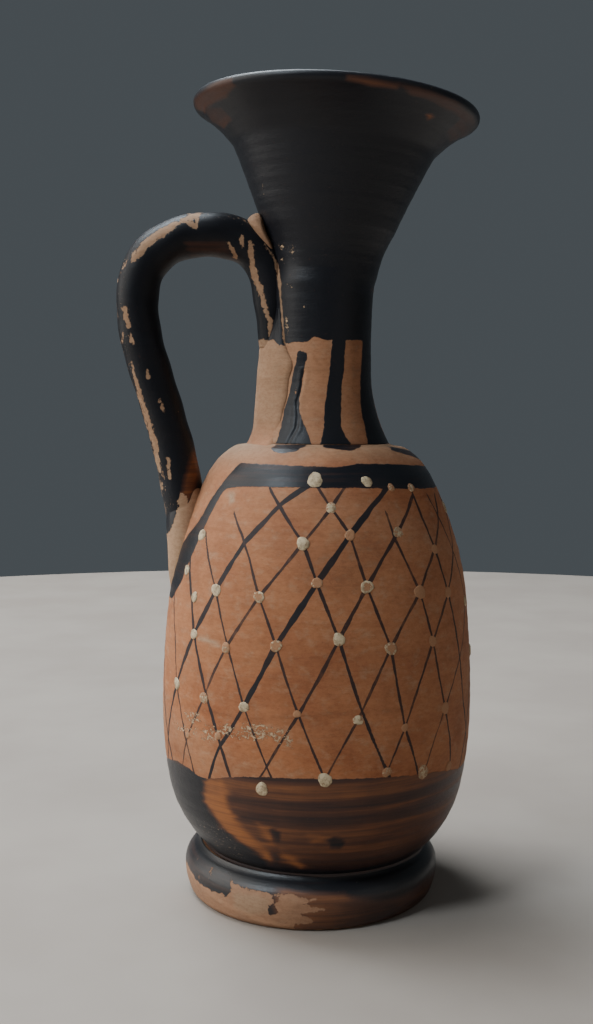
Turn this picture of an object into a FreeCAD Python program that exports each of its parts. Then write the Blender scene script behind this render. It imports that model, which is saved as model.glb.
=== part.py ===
"""Lekythos: a small wheel-made oil jug with one handle, as its thrown, pulled and luted clay pieces.

The origin is the centre of the resting ring, +Z is up, and the handle stands on the -X side.
Lengths are millimetres and turns are degrees.
"""
import FreeCAD, Part
import math
import os
import re

import Sketcher
from FreeCAD import Placement, Rotation, Vector

SIZES = {
    # Foot, a low disc with a socket on top and a hollow underneath
    "foot_height": 8.7,
    "foot_radius": 22.95,
    "foot_top_radius": 21.6,
    "rest_radius": 21.2,
    "rest_width": 4.0,
    "hollow_depth": 3.0,
    "socket_depth": 3.2,
    # Layers of liquid clay between the thrown pieces
    "luting_thickness": 0.5,
    "luting_sleeve": 0.3,
    # Body, set down a little to one side of the foot's centre
    "body_shift": 0.7,
    "body_height": 71.2,
    "belly_radius": 27.8,
    "wall_thickness": 3.4,
    "floor_thickness": 4.5,
    "roof_thickness": 3.6,
    "tenon_radius": 12.0,
    # Neck, with its radius where the mouth is set on it
    "neck_height": 27.2,
    "neck_base_radius": 12.4,
    "neck_waist_radius": 8.9,
    "neck_top_radius": 9.2,
    "neck_bore_radius": 6.2,
    "flare_height": 14.0,
    "spigot_radius": 8.3,
    # Mouth, a bell set down a little to one side of the neck's centre
    "mouth_height": 31.0,
    "mouth_shift": 0.45,
    "mouth_root_radius": 8.8,
    "mouth_seat_depth": 2.0,
    "rim_radius": 25.0,
    # Handle, an oval rod: how far its middle line reaches past the belly and rises over the neck
    "handle_thickness": 7.5,
    "handle_out": 4.6,
    "handle_over": 9.1,
    # White dabs on the wall
    "dot_radius": 1.4,
    "dot_proud": 0.4,
    "dot_sunk": 0.5,
    # How far a cutting shape runs past what it cuts
    "overrun": 1.0,
}

# The potter set body and neck a little out of plumb, and the mouth more so, both away from the handle.
# Leans and turns are in degrees.
BODY_LEAN = 0.66
MOUTH_LEAN = 3.88
NET_TURN = -95.0

# Points of the body's outline from its base to its top: shares of the radius and of the height.
# Every second point is only passed on the way of a round stretch.
BODY_OUTLINE_SHARES = [
    (0.727, 0.0),
    (0.843, 0.053), (0.950, 0.153),
    (0.988, 0.250), (1.0, 0.353),
    (0.990, 0.489), (0.963, 0.616),
    (0.860, 0.798), (0.719, 0.928),
    (0.647, 0.968), (0.532, 1.0),
]

# Outline of the foot below its upper edge: shares of the foot's radius and of its height
FOOT_ROLL_SHARES = [(0.977, 0.92), (1.0, 0.69)]
FOOT_SIDE_SHARES = (0.997, 0.31)
HOLLOW_SHARES = [(0.94, 0.66), (0.78, 1.0)]

# Points passed on the way along the neck: the flare's as shares of its width and height, the
# upper tube's as a share of the height over the flare
FLARE_SHARES = (0.307, 0.43)
TUBE_SHARE = 0.36

# Mouth outline as shares of the rim's radius and of the mouth's height: outside, lip and inside
MOUTH_OUTSIDE_SHARES = [
    (0.381, 0.158), (0.462, 0.319),
    (0.570, 0.529), (0.704, 0.765),
    (0.843, 0.863), (0.990, 0.955),
]
LIP_SHARES = [(1.0, 0.977), (0.988, 1.0)]
MOUTH_INSIDE_SHARES = [
    (0.292, 0.158), (0.362, 0.308),
    (0.466, 0.518), (0.576, 0.728),
    (0.702, 0.880), (0.890, 0.992),
]

# Sections of the handle from its tail on the neck, over the arch, down to the shoulder: distance
# from the axis, height over the base of the neck, turn of the section, then thickness and width
# as shares of the size named before them
HANDLE_REACH = "belly_radius + handle_out"
HANDLE_RISE = "neck_height + handle_over"
HANDLE_SECTIONS = [
    ("neck_waist_radius", 1.03, "neck_height", 0.610, 0.0, "handle_thickness", 0.48, 0.93),
    ("neck_waist_radius", 1.01, "neck_height", 0.801, -3.0, "handle_thickness", 0.69, 1.02),
    ("neck_waist_radius", 1.005, "neck_height", 0.971, -12.0, "handle_thickness", 0.88, 1.05),
    (HANDLE_REACH, 0.343, HANDLE_RISE, 0.905, -40.0, "handle_thickness", 0.97, 1.06),
    (HANDLE_REACH, 0.448, HANDLE_RISE, 0.972, -68.0, "handle_thickness", 1.01, 1.06),
    (HANDLE_REACH, 0.627, HANDLE_RISE, 1.000, -92.0, "handle_thickness", 1.03, 1.07),
    (HANDLE_REACH, 0.821, HANDLE_RISE, 0.960, -113.0, "handle_thickness", 1.00, 1.07),
    (HANDLE_REACH, 0.955, HANDLE_RISE, 0.853, -143.0, "handle_thickness", 1.01, 1.07),
    (HANDLE_REACH, 1.000, HANDLE_RISE, 0.718, -168.0, "handle_thickness", 0.99, 1.07),
    (HANDLE_REACH, 0.997, HANDLE_RISE, 0.596, -184.0, "handle_thickness", 0.98, 1.07),
    (HANDLE_REACH, 0.943, HANDLE_RISE, 0.379, -195.0, "handle_thickness", 0.98, 1.07),
    (HANDLE_REACH, 0.861, HANDLE_RISE, 0.143, -197.0, "handle_thickness", 0.97, 1.07),
    (HANDLE_REACH, 0.807, "body_height", -0.011, -195.0, "handle_thickness", 0.98, 1.08),
    ("belly_radius", 0.890, "body_height", -0.107, -193.0, "handle_thickness", 0.97, 1.08),
    ("belly_radius", 0.849, "body_height", -0.194, -190.0, "handle_thickness", 0.92, 1.08),
    ("belly_radius", 0.790, "body_height", -0.280, -200.0, "handle_thickness", 0.75, 1.04),
]

# The smear of clay below the upper end of the handle, a wide crescent round the neck, in the same form
UPPER_WAD_SECTIONS = [
    ("neck_waist_radius", 0.920, "neck_height", 0.919, 0.0, "neck_waist_radius", 0.74, 0.78),
    ("neck_waist_radius", 0.848, "neck_height", 0.790, 0.0, "neck_waist_radius", 0.90, 0.93),
    ("neck_waist_radius", 0.682, "neck_height", 0.592, 0.0, "neck_waist_radius", 1.19, 1.22),
    ("neck_waist_radius", 0.453, "neck_height", 0.441, 0.0, "neck_waist_radius", 1.64, 1.67),
    ("neck_waist_radius", 0.486, "neck_height", 0.221, 0.0, "neck_waist_radius", 1.74, 1.77),
    ("neck_base_radius", 0.306, "neck_height", 0.074, 0.0, "neck_base_radius", 1.51, 1.53),
    ("neck_base_radius", 0.260, "neck_height", -0.033, 0.0, "neck_base_radius", 1.67, 1.69),
]

# The clay pressed round the lower end of the handle, in the same form
LOWER_WAD_SECTIONS = [
    ("belly_radius", 0.860, "body_height", -0.133, -192.0, "handle_thickness", 0.85, 0.93),
    ("belly_radius", 0.853, "body_height", -0.190, -188.0, "handle_thickness", 0.97, 1.20),
    ("belly_radius", 0.849, "body_height", -0.253, -184.0, "handle_thickness", 0.94, 1.28),
    ("belly_radius", 0.860, "body_height", -0.316, -182.0, "handle_thickness", 0.80, 1.17),
    ("belly_radius", 0.874, "body_height", -0.372, -178.0, "handle_thickness", 0.58, 0.93),
]

# Each dab spreads a little below the wall's face and draws in towards its flat top. The roll keeps
# the seam of its side clear of the edges that run round the wall.
DAB_FOOT_SHARE = 1.1
DAB_TOP_SHARE = 0.85
DAB_ROLL = 45.0

# Rows of dabs from the shoulder down: height and radius as shares of the body's, slope of the wall
DOT_COLUMNS = 19
DOT_ROWS = [
    (0.927, 0.719, 28.0),
    (0.798, 0.860, 18.0),
    (0.675, 0.939, 10.0),
    (0.559, 0.977, 5.0),
    (0.416, 0.998, 1.5),
    (0.254, 0.988, -5.0),
]
# Dabs of the upper rows that the handle's lower end leaves no room for
HANDLE_TURN = 180.0
BARE_TURN = 24.0
BARE_ROWS = 4


def times(size, share):
    """A size times a share, as text."""
    return f"({size}) * {share}"


def up_the_axis(frame, height):
    """The frame that stands a height further up the leaning axis of another one."""
    shift, level, lean = frame
    along = times(height, math.sin(math.radians(lean)))
    up = times(height, math.cos(math.radians(lean)))
    return f"{shift} + {along}", f"{level} + {up}", lean


# A frame is a shift along X, a level over the table and a lean
TABLE = ("0", "0", 0.0)
BODY_FRAME = ("body_shift", "foot_height + luting_thickness", BODY_LEAN)
NECK_FRAME = up_the_axis(BODY_FRAME, "body_height + luting_thickness")
NECK_TOP = up_the_axis(NECK_FRAME, "neck_height")
MOUTH_FRAME = (f"{NECK_TOP[0]} + mouth_shift", NECK_TOP[1], MOUTH_LEAN)

doc = FreeCAD.newDocument("Lekythos")


def make_sheet():
    """Put every driving size into the sheet, one row each."""
    sheet = doc.addObject("Spreadsheet::Sheet", "Sizes")
    for row, (name, size) in enumerate(SIZES.items(), start=1):
        sheet.set(f"A{row}", name)
        sheet.set(f"B{row}", str(size))
        sheet.setAlias(f"B{row}", name)
    doc.recompute()
    return sheet


sheet = make_sheet()


def bound(text):
    """A sum of sizes as the document writes it, with the sheet's name before each size."""
    return re.sub(r"[a-z_]+", lambda word: f"Sizes.{word[0]}" if word[0] in SIZES else word[0], text)


def number(text):
    """What a sum of sizes comes to now."""
    return float(sheet.evalExpression(bound(text)))


def origin_plane(body, role):
    """One of a body's own origin planes."""
    return next(feature for feature in body.Origin.OriginFeatures if feature.Role == role)


def stand_in_frame(thing, frame):
    """Put a thing into a frame."""
    shift, level, lean = frame
    thing.Placement = Placement(Vector(0, 0, 0), Rotation(Vector(0, 1, 0), lean))
    thing.setExpression("Placement.Base.x", bound(shift))
    thing.setExpression("Placement.Base.z", bound(level))


def new_body(label, frame):
    """An empty body in a frame."""
    body = doc.addObject("PartDesign::Body", label)
    body.Label = label
    stand_in_frame(body, frame)
    return body


def new_sketch(body, name, role):
    """A sketch on one of the body's origin planes."""
    sketch = body.newObject("Sketcher::SketchObject", name)
    sketch.AttachmentSupport = [(origin_plane(body, role), "")]
    sketch.MapMode = "FlatFace"
    return sketch


def hold_point(sketch, geometry, end, across, up):
    """Tie one point of a sketch to its sizes from the origin, or to an axis where one is zero."""
    for kind, text, axis in (("DistanceX", across, -2), ("DistanceY", up, -1)):
        if text == "0":
            sketch.addConstraint(Sketcher.Constraint("PointOnObject", geometry, end, axis))
            continue
        index = sketch.addConstraint(Sketcher.Constraint(kind, -1, 1, geometry, end, number(text)))
        sketch.setExpression(f"Constraints[{index}]", bound(text))


def draw_outline(sketch, steps):
    """Draw a closed outline through (across, up) points; a step with two points is an arc."""
    corners = [step[-1] for step in steps]
    ends = []
    for step, (across, up) in zip(steps, [corners[-1]] + corners[:-1]):
        start = Vector(number(across), number(up), 0)
        finish = Vector(number(step[-1][0]), number(step[-1][1]), 0)
        if len(step) == 1:
            edge = sketch.addGeometry(Part.LineSegment(start, finish))
            ends.append((edge, 1, 2))
            continue
        passed = Vector(number(step[0][0]), number(step[0][1]), 0)
        edge = sketch.addGeometry(Part.Arc(start, passed, finish))
        from_head = sketch.getPoint(edge, 1).distanceToPoint(start)
        from_tail = sketch.getPoint(edge, 2).distanceToPoint(start)
        ends.append((edge, 1, 2) if from_head < from_tail else (edge, 2, 1))
        mark = sketch.addGeometry(Part.Point(passed), True)
        hold_point(sketch, mark, 1, *step[0])
        sketch.addConstraint(Sketcher.Constraint("PointOnObject", mark, 1, edge))
    for (edge, _, tail), (following, head, _) in zip(ends, ends[1:] + ends[:1]):
        sketch.addConstraint(Sketcher.Constraint("Coincident", edge, tail, following, head))
    for (edge, _, tail), corner in zip(ends, corners):
        hold_point(sketch, edge, tail, *corner)


def turn_outline(body, steps):
    """Turn a closed outline once round the body's own upright axis."""
    sketch = new_sketch(body, f"{body.Label}_outline", "XZ_Plane")
    draw_outline(sketch, steps)
    turned = body.newObject("PartDesign::Revolution", f"{body.Label}_turned")
    turned.Profile = sketch
    turned.ReferenceAxis = (sketch, ["V_Axis"])
    turned.Angle = 360.0
    return turned


def lay_section(body, name, across, up, turn):
    """A level sketch moved across and up, and turned about Y by degrees."""
    sketch = new_sketch(body, name, "XY_Plane")
    sketch.AttachmentOffset = Placement(Vector(0, 0, 0), Rotation(Vector(0, 1, 0), turn))
    sketch.setExpression("AttachmentOffset.Base.x", bound(across))
    sketch.setExpression("AttachmentOffset.Base.z", bound(up))
    return sketch


def oval_section(body, name, across, up, turn, thickness, width):
    """An elliptic section, as thick along its own X as it is wide along Y."""
    sketch = lay_section(body, name, across, up, turn)
    half_width = Vector(0, number(width) / 2, 0)
    half_thickness = Vector(number(thickness) / 2, 0, 0)
    oval = sketch.addGeometry(Part.Ellipse(half_width, half_thickness, Vector(0, 0, 0)))
    sketch.exposeInternalGeometry(oval)
    long_axis = oval + 1
    short_axis = oval + 2
    sketch.addConstraint(Sketcher.Constraint("Coincident", oval, 3, -1, 1))
    sketch.addConstraint(Sketcher.Constraint("Vertical", long_axis))
    for axis, text in ((long_axis, width), (short_axis, thickness)):
        index = sketch.addConstraint(Sketcher.Constraint("Distance", axis, number(text)))
        sketch.setExpression(f"Constraints[{index}]", bound(text))
    return sketch


def loft(body, sections):
    """One smooth skin through all sections."""
    skin = body.newObject("PartDesign::AdditiveLoft", f"{body.Label}_skin")
    skin.Profile = sections[0]
    skin.Sections = sections[1:]
    skin.Ruled = False
    return skin


def oval_rod(label, rows):
    """A rod of changing oval section on the handle's side, from a table of sections."""
    body = new_body(label, NECK_FRAME)
    sections = []
    for count, row in enumerate(rows):
        out_size, out_share, up_size, up_share, turn, size, thick_share, wide_share = row
        across = times(out_size, -out_share)
        up = times(up_size, up_share)
        thickness = times(size, thick_share)
        width = times(size, wide_share)
        name = f"{label}_section_{count}"
        sections.append(oval_section(body, name, across, up, turn, thickness, width))
    loft(body, sections)
    return body


def cut(label, base, tool):
    """One shape less another, under its own label."""
    rest = doc.addObject("Part::Cut", label)
    rest.Label = label
    rest.Base = base
    rest.Tool = tool
    return rest


def less(label, base, tools):
    """One shape less several others, one after another."""
    for count, tool in enumerate(tools[:-1]):
        base = cut(f"{label}_less_{count}", base, tool)
    return cut(label, base, tools[-1])


def rounded(shares, across, up, start="0"):
    """Arc steps through pairs of shares of two sizes, over a starting height."""
    points = [(times(across, wide), f"{start} + {times(up, high)}") for wide, high in shares]
    return [tuple(points[count:count + 2]) for count in range(0, len(points), 2)]


def foot_filled():
    """Low disc with a rolled upper edge and a hollow underneath, before its top is cut."""
    top = "foot_height + overrun"
    inner = "rest_radius - rest_width"
    hollow = [(times(inner, wide), times("hollow_depth", high)) for wide, high in HOLLOW_SHARES]
    side = (times("foot_radius", FOOT_SIDE_SHARES[0]), times("foot_height", FOOT_SIDE_SHARES[1]))
    body = new_body("foot_filled", TABLE)
    turn_outline(body, [
        (("0", top),),
        (("foot_top_radius", top),),
        (("foot_top_radius", "foot_height"),),
        *rounded(FOOT_ROLL_SHARES, "foot_radius", "foot_height"),
        (side, ("rest_radius", "0")),
        ((inner, "0"),),
        tuple(hollow),
        (("0", "hollow_depth"),),
    ])
    return body


def foot_seat():
    """The socket for the body's tenon, square to the body, and all that lies over the foot's top."""
    socket_floor = "0 - luting_thickness - socket_depth"
    socket_radius = "tenon_radius + luting_sleeve"
    outside = "foot_radius + overrun"
    top = "foot_height"
    body = new_body("foot_seat", BODY_FRAME)
    turn_outline(body, [
        (("0", socket_floor),),
        ((socket_radius, socket_floor),),
        ((socket_radius, "0 - luting_thickness"),),
        ((outside, "0 - luting_thickness"),),
        ((outside, top),),
        (("0", top),),
    ])
    return body


def foot_luting_ring():
    """Liquid clay between the foot and the body, and round the body's tenon."""
    tenon_foot = "0 - luting_thickness - socket_depth"
    socket_radius = "tenon_radius + luting_sleeve"
    rim = times("belly_radius", BODY_OUTLINE_SHARES[0][0])
    body = new_body("foot_luting_ring", BODY_FRAME)
    turn_outline(body, [
        (("tenon_radius", "0"),),
        ((rim, "0"),),
        ((rim, "0 - luting_thickness"),),
        ((socket_radius, "0 - luting_thickness"),),
        ((socket_radius, tenon_foot),),
        (("tenon_radius", tenon_foot),),
    ])
    return body


def body_filled():
    """The body as if it were solid clay, with the tenon below its base."""
    tenon_foot = "0 - luting_thickness - socket_depth"
    first_wide, first_high = BODY_OUTLINE_SHARES[0]
    body = new_body("body_filled", BODY_FRAME)
    turn_outline(body, [
        (("0", tenon_foot),),
        (("tenon_radius", tenon_foot),),
        (("tenon_radius", "0"),),
        ((times("belly_radius", first_wide), "0"),),
        *rounded(BODY_OUTLINE_SHARES[1:], "belly_radius", "body_height"),
        (("0", "body_height"),),
    ])
    return body


def body_hollow():
    """The room inside the body and the hole in its roof."""
    inside_radius = "belly_radius - wall_thickness"
    inside_height = "(body_height - floor_thickness - roof_thickness)"
    hole_radius = "spigot_radius + luting_sleeve"
    roof = "body_height - roof_thickness"
    top = "body_height + overrun"
    body = new_body("body_hollow", BODY_FRAME)
    turn_outline(body, [
        (("0", "floor_thickness"),),
        ((times(inside_radius, BODY_OUTLINE_SHARES[0][0]), "floor_thickness"),),
        *rounded(BODY_OUTLINE_SHARES[1:], inside_radius, inside_height, "floor_thickness"),
        ((hole_radius, roof),),
        ((hole_radius, top),),
        (("0", top),),
    ])
    return body


def neck_luting_ring():
    """Liquid clay between the shoulder and the neck, and round the neck's spigot."""
    spigot_foot = "0 - luting_thickness - roof_thickness"
    hole_radius = "spigot_radius + luting_sleeve"
    body = new_body("neck_luting_ring", NECK_FRAME)
    turn_outline(body, [
        (("spigot_radius", "0"),),
        (("neck_base_radius", "0"),),
        (("neck_base_radius", "0 - luting_thickness"),),
        ((hole_radius, "0 - luting_thickness"),),
        ((hole_radius, spigot_foot),),
        (("spigot_radius", spigot_foot),),
    ])
    return body


def neck_filled():
    """The neck as if it were solid clay, with the spigot below its base, before its top is cut."""
    spigot_foot = "0 - luting_thickness - roof_thickness"
    top = "neck_height + overrun"
    flare_width = "(neck_base_radius - neck_waist_radius)"
    flare_passed = (
        f"neck_waist_radius + {times(flare_width, FLARE_SHARES[0])}",
        times("flare_height", FLARE_SHARES[1]),
    )
    tube_passed = ("neck_waist_radius", f"flare_height + {times(f'{top} - flare_height', TUBE_SHARE)}")
    body = new_body("neck_filled", NECK_FRAME)
    turn_outline(body, [
        (("0", spigot_foot),),
        (("spigot_radius", spigot_foot),),
        (("spigot_radius", "0"),),
        (("neck_base_radius", "0"),),
        (flare_passed, ("neck_waist_radius", "flare_height")),
        (tube_passed, ("neck_top_radius", top)),
        (("0", top),),
    ])
    return body


def neck_bore():
    """The passage through the neck."""
    bottom = "0 - luting_thickness - roof_thickness - overrun"
    top = "neck_height + overrun + overrun"
    body = new_body("neck_bore", NECK_FRAME)
    turn_outline(body, [
        (("0", bottom),),
        (("neck_bore_radius", bottom),),
        (("neck_bore_radius", top),),
        (("0", top),),
    ])
    return body


def mouth_seat():
    """The conical seat in the top of the neck, square to the mouth, and all that lies over it."""
    outside = "neck_top_radius + overrun"
    top = "overrun + overrun"
    body = new_body("mouth_seat", MOUTH_FRAME)
    turn_outline(body, [
        (("0", "0 - mouth_seat_depth"),),
        (("neck_bore_radius", "0 - mouth_seat_depth"),),
        (("mouth_root_radius", "0"),),
        ((outside, "0"),),
        ((outside, top),),
        (("0", top),),
    ])
    return body


def mouth_luting_ring():
    """Liquid clay on the conical seat between the neck and the mouth."""
    body = new_body("mouth_luting_ring", MOUTH_FRAME)
    turn_outline(body, [
        (("mouth_root_radius", "0"),),
        (("mouth_root_radius", "luting_thickness"),),
        (("neck_bore_radius", "luting_thickness - mouth_seat_depth"),),
        (("neck_bore_radius", "0 - mouth_seat_depth"),),
    ])
    return body


def mouth_filled():
    """The bell of the mouth as if it were solid clay."""
    bottom = "luting_thickness - mouth_seat_depth"
    body = new_body("mouth_filled", MOUTH_FRAME)
    turn_outline(body, [
        (("0", bottom),),
        (("neck_bore_radius", bottom),),
        (("mouth_root_radius", "luting_thickness"),),
        *rounded(MOUTH_OUTSIDE_SHARES, "rim_radius", "mouth_height"),
        *rounded(LIP_SHARES, "rim_radius", "mouth_height"),
        (("0", "mouth_height"),),
    ])
    return body


def mouth_hollow():
    """The room inside the bell and its root."""
    bottom = "0 - mouth_seat_depth - overrun"
    top = "mouth_height + overrun"
    lip_inside = times("rim_radius", MOUTH_INSIDE_SHARES[-1][0])
    body = new_body("mouth_hollow", MOUTH_FRAME)
    turn_outline(body, [
        (("0", bottom),),
        (("neck_bore_radius", bottom),),
        (("neck_bore_radius", "0"),),
        *rounded(MOUTH_INSIDE_SHARES, "rim_radius", "mouth_height"),
        ((lip_inside, top),),
        (("0", top),),
    ])
    return body


def dab(name, out, up, turn, slope):
    """A low cone with a flat top, its foot at a point inside the wall, square to the wall."""
    cosine = math.cos(math.radians(turn))
    sine = math.sin(math.radians(turn))
    level = math.cos(math.radians(slope))
    upward = Vector(level * cosine, level * sine, math.sin(math.radians(slope)))
    cone = doc.addObject("Part::Cone", name)
    facing = Rotation(Vector(0, 0, 1), upward) * Rotation(Vector(0, 0, 1), DAB_ROLL)
    cone.Placement = Placement(Vector(0, 0, 0), facing)
    cone.setExpression("Radius1", bound(times("dot_radius", DAB_FOOT_SHARE)))
    cone.setExpression("Radius2", bound(times("dot_radius", DAB_TOP_SHARE)))
    cone.setExpression("Height", bound("dot_sunk + dot_proud"))
    cone.setExpression("Placement.Base.x", bound(times(out, cosine)))
    cone.setExpression("Placement.Base.y", bound(times(out, sine)))
    cone.setExpression("Placement.Base.z", bound(up))
    return cone


def white_dots(wall):
    """Thick dabs of paint on the crossings of the net."""
    dabs = []
    for row, (high_share, wide_share, slope) in enumerate(DOT_ROWS):
        out = f"{times('belly_radius', wide_share)} - {times('dot_sunk', math.cos(math.radians(slope)))}"
        up = f"{times('body_height', high_share)} - {times('dot_sunk', math.sin(math.radians(slope)))}"
        for column in range(DOT_COLUMNS):
            turn = NET_TURN + 360.0 / DOT_COLUMNS * (column + row % 2 / 2)
            from_handle = abs((turn - HANDLE_TURN + 180.0) % 360.0 - 180.0)
            if row < BARE_ROWS and from_handle < BARE_TURN:
                continue
            dabs.append(dab(f"dab_{row}_{column}", out, up, turn, slope))
    group = doc.addObject("Part::Compound", "dabs")
    group.Links = dabs
    stand_in_frame(group, BODY_FRAME)
    return cut("white_dots", group, wall)


def main():
    """Make every piece, test it and write it."""
    wall = body_filled()
    neck_wall = neck_filled()
    bell = mouth_filled()
    neck_ring = neck_luting_ring()
    mouth_ring = mouth_luting_ring()
    rod = oval_rod("handle_rod", HANDLE_SECTIONS)
    upper_smear = oval_rod("upper_smear", UPPER_WAD_SECTIONS)
    lower_smear = oval_rod("lower_smear", LOWER_WAD_SECTIONS)
    pieces = [
        cut("foot", foot_filled(), foot_seat()),
        foot_luting_ring(),
        cut("body", wall, body_hollow()),
        neck_ring,
        cut("neck", cut("neck_bored", neck_wall, neck_bore()), mouth_seat()),
        mouth_ring,
        cut("mouth", bell, mouth_hollow()),
        less("handle", rod, [wall, neck_wall, mouth_ring, bell]),
        less("upper_handle_wad", upper_smear, [wall, neck_ring, neck_wall, rod]),
        less("lower_handle_wad", lower_smear, [rod, wall]),
        white_dots(wall),
    ]
    doc.recompute()
    for thing in doc.Objects:
        if "Invalid" in thing.State or "Error" in thing.State:
            raise RuntimeError(f"{thing.Label} has failed: {thing.State}")
    os.makedirs("parts", exist_ok=True)
    for piece in pieces:
        shape = piece.Shape
        if shape.isNull() or not shape.isValid() or not shape.Solids:
            raise RuntimeError(f"{piece.Label} has no valid shape")
        shape.exportStep(os.path.join("parts", f"{piece.Label}.step"))
        print(f"{piece.Label}: {len(shape.Solids)} solids, {shape.Volume:.1f} mm3")


main()
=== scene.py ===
"""Lekythos: the painted surface of a small wheel-made oil jug, built round its measured frame."""

import math

import bpy
import numpy as np
from bpy.props import FloatProperty, FloatVectorProperty, IntProperty, PointerProperty
from mathutils import Matrix


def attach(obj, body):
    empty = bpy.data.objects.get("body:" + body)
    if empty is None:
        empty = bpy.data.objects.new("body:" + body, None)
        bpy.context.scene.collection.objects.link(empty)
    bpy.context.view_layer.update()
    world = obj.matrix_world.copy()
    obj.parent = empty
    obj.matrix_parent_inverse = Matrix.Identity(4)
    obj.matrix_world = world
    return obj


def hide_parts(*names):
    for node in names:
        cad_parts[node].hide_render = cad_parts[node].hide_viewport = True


bl_info = {
    "name": "Net-pattern lekythos",
    "version": (1, 0, 0),
    "blender": (4, 5, 0),
    "location": "View3D > Sidebar > Lekythos",
    "description": "Builds the clay pieces of a net-pattern lekythos, their slip paint and white dabs",
    "category": "Add Mesh",
}

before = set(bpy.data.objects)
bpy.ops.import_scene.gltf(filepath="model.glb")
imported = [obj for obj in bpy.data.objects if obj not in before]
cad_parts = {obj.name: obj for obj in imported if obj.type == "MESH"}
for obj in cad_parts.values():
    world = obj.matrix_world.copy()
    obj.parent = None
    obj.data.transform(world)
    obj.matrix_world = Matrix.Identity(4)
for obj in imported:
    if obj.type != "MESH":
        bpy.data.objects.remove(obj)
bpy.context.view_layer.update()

MM = 0.001
TINY = 1e-9

# The camera of the front view, in millimetres, pixels and degrees
IMAGE_WIDTH = 593
IMAGE_HEIGHT = 1024
FOCAL_PIXELS = 1200.0
CAMERA_PLACE = np.array([-18.8, -214.5, 87.08])
CAMERA_TURN = -5.0
CAMERA_YAW = 0.69
CAMERA_PITCH = 4.953
SENSOR_MM = 36.0
# Size of one pixel at the jug, in millimetres
PIXEL_MM = 0.17
# Distances from the camera at which a line of sight is tried, in millimetres
SIGHT_STEPS = np.arange(140.0, 270.0, 0.1)

# Direction of turn 0, the side of the jug that faces the camera
FRONT = -95.0
HANDLE_TURN = -85.0

# Frames of the leaning pieces: shift along X, level and lean in millimetres and degrees
BODY_FRAME = (0.7, 9.2, 0.66)
NECK_FRAME = (1.526, 80.893, 0.66)
MOUTH_FRAME = (2.289, 108.09, 3.88)
MOUTH_SHIFT = 0.45

# Outlines, as shares of the widest radius and of the height
MOUTH_ROOT_SHARE = 0.352
BODY_SHARES = [
    (0.727, 0.0),
    (0.843, 0.053), (0.950, 0.153),
    (0.988, 0.250), (1.0, 0.353),
    (0.990, 0.489), (0.963, 0.616),
    (0.860, 0.798), (0.719, 0.928),
    (0.647, 0.968), (0.532, 1.0),
]
MOUTH_OUTSIDE_SHARES = [
    (MOUTH_ROOT_SHARE, 0.016),
    (0.381, 0.158), (0.462, 0.319),
    (0.570, 0.529), (0.704, 0.765),
    (0.830, 0.869), (0.978, 0.950),
    (1.000, 0.972), (0.988, 1.0),
]
MOUTH_INSIDE_SHARES = [
    (0.950, 1.006), (0.890, 0.985),
    (0.702, 0.880), (0.576, 0.728),
    (0.466, 0.518), (0.362, 0.308),
    (0.292, 0.158), (0.248, -0.030),
]

# Walls and joints of the thrown pieces, in millimetres
WALL = 3.4
FLOOR = 4.5
ROOF = 3.6
TENON_RADIUS = 12.0
TENON_DEPTH = 3.7
NECK_HEIGHT = 27.2
NECK_BASE_RADIUS = 12.4
NECK_TOP_RADIUS = 9.2
FLARE_HEIGHT = 14.0
BORE_RADIUS = 6.2
SPIGOT_RADIUS = 8.3
SPIGOT_DEPTH = 4.1
MOUTH_HEIGHT = 31.0
# Radius of the ring that a disc's middle is closed from
HUB_RADIUS = 0.8
# How deep handle and wads may sink into the body, and into neck and mouth
SUNK_IN_BODY = 1.8
SUNK_IN_NECK = 1.2

# Rows and columns of the meshes
NECK_GRID = (122, 320)
MOUTH_GRID = (120, 440)
FOOT_GRID = (56, 480)
HANDLE_GRID = (330, 120)
LOWER_WAD_GRID = (90, 72)

# A distance that means: nowhere near
FAR_OFF = -9.0

# Thickness of the arch that these sections are measured at
ARCH_THICKNESS = 7.5
# Handle sections: out from the neck's axis and up from its base in millimetres, turn of the section
# in degrees, thickness and width in millimetres
HANDLE_SECTIONS = np.array([
    (9.17, 16.6, 0.0, 3.6, 7.0),
    (8.99, 21.8, -3.0, 5.2, 7.65),
    (8.94, 26.4, -12.0, 6.6, 7.9),
    (11.1, 32.9, -40.0, 7.3, 7.95),
    (14.5, 35.3, -68.0, 7.6, 7.95),
    (20.3, 36.3, -92.0, 7.7, 8.0),
    (26.6, 34.8, -113.0, 7.5, 8.0),
    (30.9, 31.0, -143.0, 7.6, 8.0),
    (32.4, 26.1, -168.0, 7.4, 8.0),
    (32.3, 21.6, -184.0, 7.35, 8.0),
    (30.6, 13.8, -195.0, 7.35, 8.0),
    (27.9, 5.2, -197.0, 7.3, 8.0),
    (26.15, -0.8, -195.0, 7.35, 8.1),
    (24.75, -7.6, -193.0, 7.3, 8.1),
    (23.6, -13.8, -190.0, 6.9, 8.1),
    (21.96, -19.9, -200.0, 5.6, 7.8),
])
LOWER_WAD_SECTIONS = np.array([
    (23.9, -7.5, -192.0, 5.2, 6.6),
    (23.7, -13.5, -188.0, 7.3, 9.2),
    (23.6, -18.0, -184.0, 7.0, 9.8),
    (23.9, -22.5, -182.0, 6.0, 9.0),
    (24.3, -26.5, -178.0, 4.3, 7.2),
    (24.6, -29.0, -176.0, 2.6, 4.6),
])


def wrap(turn):
    """A turn brought between -180 and 180 degrees."""
    return (np.asarray(turn) + 180.0) % 360.0 - 180.0


def smooth(value, low, high):
    """0 below low, 1 above high, and 3x^2 - 2x^3 between them."""
    share = np.clip((value - low) / (high - low), 0.0, 1.0)
    return share * share * (3.0 - 2.0 * share)


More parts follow.
